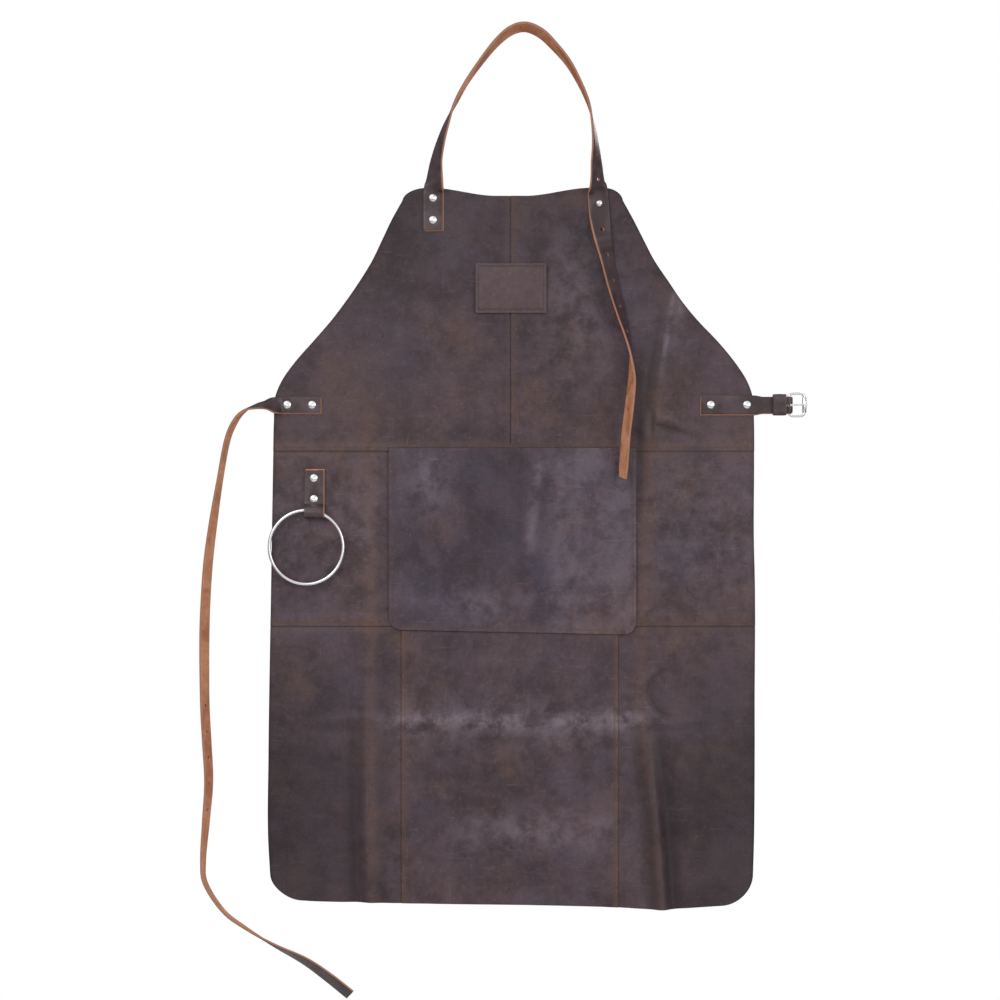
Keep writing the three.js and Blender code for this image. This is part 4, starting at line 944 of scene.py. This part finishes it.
SEAM_INSET = 0.0045
stitches("bib_seam_stitches", "bib_seam_thread",
         [(CENTRE_SEAM + SEAM_INSET, UPPER_SEAM + 0.010), (CENTRE_SEAM + SEAM_INSET, BIB_TOP - 0.015)],
         panel_face)
stitches("upper_seam_stitches", "upper_seam_thread",
         [(-0.299, UPPER_SEAM + SEAM_INSET), (0.300, UPPER_SEAM + SEAM_INSET)], panel_face)
stitches("lower_left_seam_stitches", "lower_left_seam_thread",
         [(-0.302, LOWER_SEAM + SEAM_INSET), (POCKET_LEFT - 0.003, LOWER_SEAM + SEAM_INSET)], panel_face)
stitches("lower_right_seam_stitches", "lower_right_seam_thread",
         [(POCKET_RIGHT + 0.003, LOWER_SEAM + SEAM_INSET), (0.302, LOWER_SEAM + SEAM_INSET)], panel_face)
stitches("skirt_left_seam_stitches", "skirt_left_seam_thread",
         [(LEFT_SEAM + SEAM_INSET, POCKET_BOTTOM - 0.002), (LEFT_SEAM + SEAM_INSET, HEM + 0.007)], panel_face)
stitches("skirt_right_seam_stitches", "skirt_right_seam_thread",
         [(RIGHT_SEAM - SEAM_INSET, POCKET_BOTTOM - 0.005), (RIGHT_SEAM - SEAM_INSET, HEM + 0.006)],
         panel_face)


def pocket_depth(x, z):
    """Depth of the pocket's front."""
    return ON_FACE - PROUD - LEATHER - pocket_face(x, z)


def cornered(left, right, top, bottom, radius, sag):
    """Line down the left side, round the bottom corners and up the right side. The bottom slopes by sag."""
    quarter = np.linspace(0, np.pi / 2, 7)
    low_left, low_right = bottom + sag, bottom - sag
    path = [(left, top)]
    path += [(left + radius * (1 - math.cos(t)), low_left + radius * (1 - math.sin(t))) for t in quarter]
    path += [(right - radius * (1 - math.sin(t)), low_right + radius * (1 - math.cos(t))) for t in quarter]
    return path + [(right, top)]


stitches("pocket_stitches", "pocket_thread",
         cornered(POCKET_LEFT + 0.005, POCKET_RIGHT - 0.005, POCKET_TOP - 0.001, POCKET_BOTTOM + 0.005,
                  0.012, 0.003),
         pocket_depth)
ring_path = cornered(label_low.x - MIDDLE + LABEL_BORDER, label_high.x - MIDDLE - LABEL_BORDER,
                     label_high.z - LABEL_BORDER, label_low.z + LABEL_BORDER, 0.0005, 0)
stitches("label_stitches", "label_thread", ring_path + [ring_path[0]], lambda x,
         z: label_low.y + 0.0004 + 0 * x)


# ---- Rivets and the neck stud ----
# Nickel-plated steel. Each rivet is a low domed cap with a rolled rim and a small dint in its middle, on a
# post through the leather, with a plain cap behind. The stud is a ball head on a waist, held by a screw at
# the back.
def steel(name, tone, roughness, brushed):
    """Plated steel. Fine scratches, stretched along X, vary its roughness; brushed sets how strongly."""
    made = bpy.data.materials.new(name)
    made.use_nodes = True
    tree = made.node_tree
    shader = tree.nodes["Principled BSDF"]
    place = node(tree, "ShaderNodeTexCoord").outputs["Object"]
    shader.inputs["Base Color"].default_value = tone
    shader.inputs["Metallic"].default_value = 1.0
    streaks = node(tree, "ShaderNodeMapping", ("Vector", place),
                   ("Scale", (300.0, 1600.0, 1600.0))).outputs[0]
    scratches = noise(tree, streaks, 1.0, 3, 0.6)
    tree.links.new(between(tree, scratches, 0.3, 0.7, roughness - brushed, roughness + brushed),
                   shader.inputs["Roughness"])
    bump = node(tree, "ShaderNodeBump", ("Strength", 0.08), ("Distance", 0.0001), ("Height", scratches))
    tree.links.new(bump.outputs[0], shader.inputs["Normal"])
    return made


plated = steel("nickel_plated_steel", (0.93, 0.91, 0.90, 1), 0.27, 0.06)


def turned(name, profile, centre, axis="Y", steps=40):
    """Solid of revolution. The profile is (radius, distance along the axis) pairs, from one end on the axis
    to the other: each point becomes a ring of steps points, x = r cos a, z = r sin a, and a point on the
    axis one."""
    profile = np.array(profile, float)
    angle = np.linspace(0, 2 * np.pi, steps, endpoint=False)
    rings = profile[1:-1]
    if axis == "Y":
        body = np.stack([rings[:, :1] * np.cos(angle), rings[:, 1:] + 0 * angle,
                         rings[:, :1] * np.sin(angle)], -1)
        ends = np.array([[0, profile[0, 1], 0], [0, profile[-1, 1], 0]])
    else:
        body = np.stack([rings[:, :1] * np.cos(angle), -rings[:, :1] * np.sin(angle),
                         rings[:, 1:] + 0 * angle], -1)
        ends = np.array([[0, 0, profile[0, 1]], [0, 0, profile[-1, 1]]])
    points = np.concatenate([body.reshape(-1, 3), ends]) + centre
    count = len(rings)
    row = np.arange(steps)
    after = (row + 1) % steps
    base = np.arange(count - 1)[:, None] * steps
    wall = np.stack([base + row, base + after, base + steps + after, base + steps + row], -1).reshape(-1, 4)
    faces = wall.tolist()
    first, last = count * steps, count * steps + 1
    faces += np.stack([row * 0 + first, after, row], 1).tolist()
    top = (count - 1) * steps
    faces += np.stack([row * 0 + last, row + top, after + top], 1).tolist()
    mesh = bpy.data.meshes.new(name)
    mesh.from_pydata(points.tolist(), [], faces)
    mesh.polygons.foreach_set("use_smooth", np.ones(len(mesh.polygons), bool))
    mesh.set_sharp_from_angle(angle=math.radians(48))
    piece = bpy.data.objects.new(name, mesh)
    bpy.context.scene.collection.objects.link(piece)
    return piece


def place_metal(piece, node_name, body):
    """Steel finish and place in the frame of a metal piece."""
    piece.data.materials.append(plated)
    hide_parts(node_name)
    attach(piece, body)


def middle_of(node_name):
    """Middle of a CAD node's box."""
    low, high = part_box(node_name)
    return np.array([(low.x + high.x) / 2, (low.y + high.y) / 2, (low.z + high.z) / 2])


CAP = 0.0048                    # radius of a rivet's caps
for rivet in ("neck_rivet_upper", "neck_rivet_lower", "waist_rivet_outer", "waist_rivet_inner",
              "tab_rivet_upper", "tab_rivet_lower", "buckle_rivet_inner", "buckle_rivet_outer"):
    low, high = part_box(rivet + "_cap")
    x, y, z = middle_of(rivet + "_cap")
    seat = low.y + 0.0017 + 0.0002
    post_end = high.y
    angle = np.linspace(0, np.pi / 2, 7)
    rim = [(CAP - 0.0005 + 0.0005 * math.sin(a), seat - 0.0004 + 0.0004 * math.cos(a)) for a in angle]
    dome = [(r, seat - 0.0004 - 0.0013 * (1 - (r / CAP) ** 2.4)) for r in CAP * np.linspace(0.985, 0.30, 10)]
    dint = [(0.0011, seat - 0.00162), (0.0008, seat - 0.0014), (0.0004, seat - 0.0013), (0, seat - 0.00128)]
    profile = [(0, post_end), (0.0014, post_end), (0.0016, post_end - 0.0002), (0.0016, seat + 0.0001)]
    head = turned(rivet + "_head", profile + rim + dome + dint, (x, 0, z))
    place_metal(head, rivet + "_cap", "apron")
    low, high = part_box(rivet + "_back")
    back = [(0, low.y + 0.0011), (0.0019, low.y + 0.0011), (0.0019, low.y), (CAP - 0.0003, low.y),
            (CAP, low.y + 0.0003), (CAP, low.y + 0.0008), (CAP - 0.0004, high.y - 0.0003),
            (CAP - 0.0012, high.y),
            (0, high.y)]
    behind = turned(rivet + "_clinch", back[::-1], (x, 0, z))
    place_metal(behind, rivet + "_back", "apron")

low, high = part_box("neck_stud")
x, y, z = middle_of("neck_stud")
BALL = 0.0047
angle = np.linspace(0.30, np.pi - 0.42, 16)
ball_y = low.y + 0.0036
ball = [(BALL * math.sin(a), ball_y - 0.0036 * math.cos(a)) for a in angle]
profile = [(0, high.y - 0.0033), (0.0015, high.y - 0.0033), (0.0015, high.y), (0.0021, high.y),
           (0.0021, ball_y + 0.0033)] + ball[::-1] + [(0, low.y)]
stud = turned("neck_stud_ball", profile, (x, 0, z))
place_metal(stud, "neck_stud", "apron")
low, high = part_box("neck_stud_screw")
profile = [(0, high.y - 0.0005), (0.0014, high.y - 0.0005), (0.0016, high.y), (CAP - 0.0009, high.y),
           (CAP, high.y - 0.0005), (CAP, high.y - 0.0011), (CAP - 0.0003, high.y - 0.0014),
           (0.0012, high.y - 0.0014), (0.0012, low.y), (0, low.y)]
screw = turned("neck_stud_screw_head", profile, (x, 0, z))
place_metal(screw, "neck_stud_screw", "apron")


# ---- Ring and its tab ----
# Round steel ring of 4.4 mm wire that hangs in the fold of a doubled strap tab, riveted twice to the waist
# panel.
def wire(name, path, radius, sides=20, closed=True, outward=None):
    """Round bar along a path of places. Each section lies across the path: out = r cos a n + r sin a b,
    where n and b are square to the path's direction. Open ends are closed by a short cone to a point half a
    radius beyond each end."""
    path = np.array(path, float)
    girth = np.broadcast_to(radius, len(path)).astype(float)
    if closed:
        along = np.roll(path, -1, 0) - np.roll(path, 1, 0)
    else:
        along = np.gradient(path, axis=0)
    along /= np.linalg.norm(along, axis=1)[:, None]
    level = np.array(outward, float)
    sideways = np.cross(along, level)
    sideways /= np.linalg.norm(sideways, axis=1)[:, None]
    up = np.cross(sideways, along)
    turn = np.linspace(0, 2 * np.pi, sides, endpoint=False)
    rings = (path[:, None] + girth[:, None, None] * (np.cos(turn)[:, None] * sideways[:, None]
                                                     + np.sin(turn)[:, None] * up[:, None]))
    count = len(path)
    row = np.arange(sides)
    after = (row + 1) % sides
    first = np.arange(count if closed else count - 1)[:, None] * sides
    second = (first + sides) % (count * sides)
    faces = np.stack([first + row, second + row, second + after, first + after], -1).reshape(-1, 4).tolist()
    points = rings.reshape(-1, 3)
    if not closed:
        tips = np.stack([path[0] - along[0] * girth[0] * 0.5, path[-1] + along[-1] * girth[-1] * 0.5])
        points = np.concatenate([points, tips])
        faces += np.stack([row * 0 + count * sides, row, after], 1).tolist()
        end = (count - 1) * sides
        faces += np.stack([row * 0 + count * sides + 1, end + after, end + row], 1).tolist()
    mesh = bpy.data.meshes.new(name)
    mesh.from_pydata(points.tolist(), [], faces)
    mesh.polygons.foreach_set("use_smooth", np.ones(len(mesh.polygons), bool))
    piece = bpy.data.objects.new(name, mesh)
    bpy.context.scene.collection.objects.link(piece)
    return piece


low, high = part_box("ring")
RING_WIRE = (high.y - low.y) / 2
ring_radius = (high.z - low.z) / 2 - RING_WIRE
centre = middle_of("ring")
angle = np.linspace(0, 2 * np.pi, 160, endpoint=False)
ring_path = centre + np.stack([ring_radius * np.cos(angle), 0 * angle, ring_radius * np.sin(angle)], 1)
ring = wire("tool_ring_wire", ring_path, RING_WIRE, outward=(0, -1, 0))
place_metal(ring, "ring", "tool_ring")

low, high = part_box("ring_tab")
TAB_WIDTH = high.x - low.x
TAB_THICK = 0.0024
TAB_LAYER = TAB_THICK / 2
tab_x = (low.x + high.x) / 2
fold_out = (high.y - low.y - TAB_THICK) / 2
fold_y = (low.y + high.y) / 2
fold_z = low.z + fold_out + TAB_LAYER
back_y = ON_FACE - TAB_LAYER
front_y = back_y - TAB_THICK - 0.0001
TAB_TOP = high.z
half_turn = np.linspace(0, np.pi, 13)
tab_route = [(back_y, TAB_TOP), (back_y, TAB_TOP - 0.015), (back_y, TAB_TOP - 0.030),
             (back_y, fold_z + 0.011)]
tab_route += [(fold_y + fold_out * math.cos(t), fold_z - fold_out * math.sin(t)) for t in half_turn]
tab_route += [(fold_y - fold_out + 0.0024, fold_z + 0.0058), (front_y - 0.0016, fold_z + 0.0095),
              (front_y - 0.0002, fold_z + 0.0130), (front_y, fold_z + 0.018), (front_y, TAB_TOP - 0.030),
              (front_y, TAB_TOP - 0.015), (front_y, TAB_TOP)]
centre, turn, length = route([(0, y * 1000, z * 1000, 0) for y, z in tab_route], 0.0008)
centre[:, 0] = tab_x
along = np.gradient(centre, axis=0)
along /= np.linalg.norm(along, axis=1)[:, None]
across = np.tile([-1.0, 0.0, 0.0], (len(centre), 1))
face = np.cross(along, across)
tab_rivets = [middle_of("tab_rivet_upper_cap")[2], middle_of("tab_rivet_lower_cap")[2]]
front_half = length > length[-1] / 2
pressed = [float(length[front_half][np.argmin(abs(centre[front_half, 2] - z))]) for z in tab_rivets]
tab, used = strap_mesh("ring_tab_leather", centre, across, face, length, TAB_WIDTH, TAB_THICK, 24, (),
                       pressed,
                       None, -EDGE_LEAN)
finish_strap(tab, "ring_tab")


# ---- Buckle and its strap ----
# Short doubled strap riveted through the right of the waist. It folds round the bar of a small roller
# buckle, the prong comes through a slot in the fold, and a leather keeper loop slides on it.
low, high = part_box("buckle_strap")
BAR_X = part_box("buckle_frame")[0].x + 0.0018
buckle_z = (low.z + high.z) / 2
STRAP_START = low.x
bar_y = (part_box("buckle_frame")[0].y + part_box("buckle_frame")[1].y) / 2
layer_front = ON_FACE - STRAP_THICK / 2
layer_back = 0.0003 + STRAP_THICK / 2
bend = high.x - BAR_X - STRAP_THICK / 2
half_turn = np.linspace(0, np.pi, 13)
buckle_route = [(STRAP_START, layer_front), (STRAP_START + 0.040, layer_front),
                (STRAP_START + 0.080, layer_front),
                (BAR_X - 0.012, layer_front - 0.0001)]
buckle_route += [(BAR_X + bend * math.sin(t), bar_y - bend * math.cos(t)) for t in half_turn]
buckle_route += [(BAR_X - 0.012, layer_back + 0.0001), (STRAP_START + 0.080, layer_back),
                 (STRAP_START + 0.040, layer_back), (STRAP_START, layer_back)]
centre, turn, length = route([(x * 1000, y * 1000, 0, 0) for x, y in buckle_route], 0.0011)
centre[:, 0] -= MIDDLE
centre[:, 2] = buckle_z
along = np.gradient(centre, axis=0)
along /= np.linalg.norm(along, axis=1)[:, None]
across = np.tile([0.0, 0.0, 1.0], (len(centre), 1))
face = np.cross(along, across)
BUCKLE_WIDE, BUCKLE_NARROW = 0.024, 0.0205
width = BUCKLE_WIDE + (BUCKLE_NARROW - BUCKLE_WIDE) * smooth_step(centre[:, 0] - MIDDLE, 0.306, 0.318)
in_fold = length[centre[:, 0] > BAR_X - 0.0065]
slot = ((float(in_fold[0]), float(in_fold[-1])), 0.0015)
front_half = length < length[-1] / 2
pressed = []
for rivet in ("buckle_rivet_inner_cap", "buckle_rivet_outer_cap"):
    away = abs(centre[:, 0] - middle_of(rivet)[0])
    pressed.append(float(length[front_half][np.argmin(away[front_half])]))
buckle_strap, used = strap_mesh("buckle_strap_leather", centre, across, face, length, width, STRAP_THICK,
                                28, (),
                                pressed, slot, -EDGE_LEAN)
finish_strap(buckle_strap, "buckle_strap")

low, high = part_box("buckle_keeper")
KEEPER_THICK = 0.002
tall = (high.z - low.z - KEEPER_THICK) / 2
deep = (high.y - low.y - KEEPER_THICK) / 2
keeper_y = (low.y + high.y) / 2
keeper_z = (low.z + high.z) / 2
CORNER = 0.0042
quarter = np.linspace(0, np.pi / 2, 6)
loop = [(deep, 0.009)]
for side_y, side_z, first in ((1, 1, 0), (-1, 1, 1), (-1, -1, 0), (1, -1, 1)):
    arc = [(side_y * (deep - CORNER + CORNER * math.cos(t)), side_z * (tall - CORNER + CORNER * math.sin(t)))
           for t in (quarter if not first else quarter[::-1])]
    loop += arc
loop += [(deep + 0.0001, -0.004), (deep + 0.0016, -0.0005), (deep + KEEPER_THICK + 0.0002, 0.004),
         (deep + KEEPER_THICK + 0.0002, 0.0095)]
centre, turn, length = route([(0, (keeper_y + y) * 1000, (keeper_z + z) * 1000, 0) for y, z in loop], 0.0008)
centre[:, 0] = (low.x + high.x) / 2
along = np.gradient(centre, axis=0)
along /= np.linalg.norm(along, axis=1)[:, None]
across = np.tile([1.0, 0.0, 0.0], (len(centre), 1))
face = np.cross(along, across)
keeper, used = strap_mesh("keeper_leather", centre, across, face, length, high.x - low.x, KEEPER_THICK, 16)
keeper.data.materials.append(dark_strap)
round_rims(keeper, 0.0004)
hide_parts("buckle_keeper")
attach(keeper, "keeper")

low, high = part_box("buckle_frame")
BAR = (high.y - low.y) / 2
centre = middle_of("buckle_frame")
wide = (high.x - low.x) / 2 - BAR
tall = (high.z - low.z) / 2 - BAR
CORNER = 0.0055
quarter = np.linspace(0, np.pi / 2, 9)
outline = []
for start, cx, cz in ((0, 1, 1), (1, -1, 1), (2, -1, -1), (3, 1, -1)):
    a = quarter + start * np.pi / 2
    outline += list(zip(cx * (wide - CORNER) + CORNER * np.cos(a), cz * (tall - CORNER) + CORNER * np.sin(a)))
outline = np.array(outline)
frame_path = centre + np.stack([outline[:, 0], 0 * outline[:, 0], outline[:, 1]], 1)
buckle_frame = wire("buckle_frame_wire", frame_path, BAR, outward=(0, -1, 0))
place_metal(buckle_frame, "buckle_frame", "buckle")

low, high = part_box("buckle_roller")
radius = (high.x - low.x) / 2
inner = BAR + 0.0003
half = (high.z - low.z) / 2
x, y, z = middle_of("buckle_roller")
EDGE = 0.0003
walls = [(inner, -half), (radius - EDGE, -half), (radius, -half + EDGE), (radius, half - EDGE),
         (radius - EDGE, half), (inner, half)]
turn = np.linspace(0, 2 * np.pi, 40, endpoint=False)
rings = np.array(walls)
points = np.stack([rings[:, :1] * np.cos(turn), rings[:, :1] * np.sin(turn), rings[:, 1:] + 0 * turn], -1)
row = np.arange(40)
after = (row + 1) % 40
base = np.arange(6)[:, None] * 40
faces = np.stack([base + row, base + after, (base + 40) % 240 + after, (base + 40) % 240 + row],
                 -1).reshape(-1, 4)
mesh = bpy.data.meshes.new("buckle_roller_tube")
mesh.from_pydata((points.reshape(-1, 3) + [x, y, z]).tolist(), [], faces.tolist())
mesh.polygons.foreach_set("use_smooth", np.ones(len(mesh.polygons), bool))
mesh.set_sharp_from_angle(angle=math.radians(60))
roller = bpy.data.objects.new("buckle_roller_tube", mesh)
bpy.context.scene.collection.objects.link(roller)
place_metal(roller, "buckle_roller", "roller")

low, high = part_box("buckle_prong")
PRONG = 0.0011
EYE = BAR + 0.0003 + PRONG      # radius of the eye's middle line
bar_x = BAR_X
tongue_y = low.y + PRONG
sweep = np.linspace(math.radians(250), math.radians(-92), 30)
prong_path = [(bar_x + EYE * math.cos(a), bar_y + EYE * math.sin(a) * 0.98) for a in sweep]
prong_path += [(bar_x + 0.003, bar_y - EYE - 0.0003), (bar_x + 0.007, tongue_y + 0.0006),
               (bar_x + 0.012, tongue_y), (bar_x + 0.018, tongue_y), (high.x - 0.002, tongue_y),
               (high.x - 0.0006, tongue_y + 0.0002)]
prong_path = np.array([(x, y, buckle_z) for x, y in prong_path])
girth = np.full(len(prong_path), PRONG)
girth[-2:] = [0.0010, 0.0006]
prong = wire("buckle_prong_wire", prong_path, girth, closed=False, outward=(0, 0, 1))
place_metal(prong, "buckle_prong", "prong")
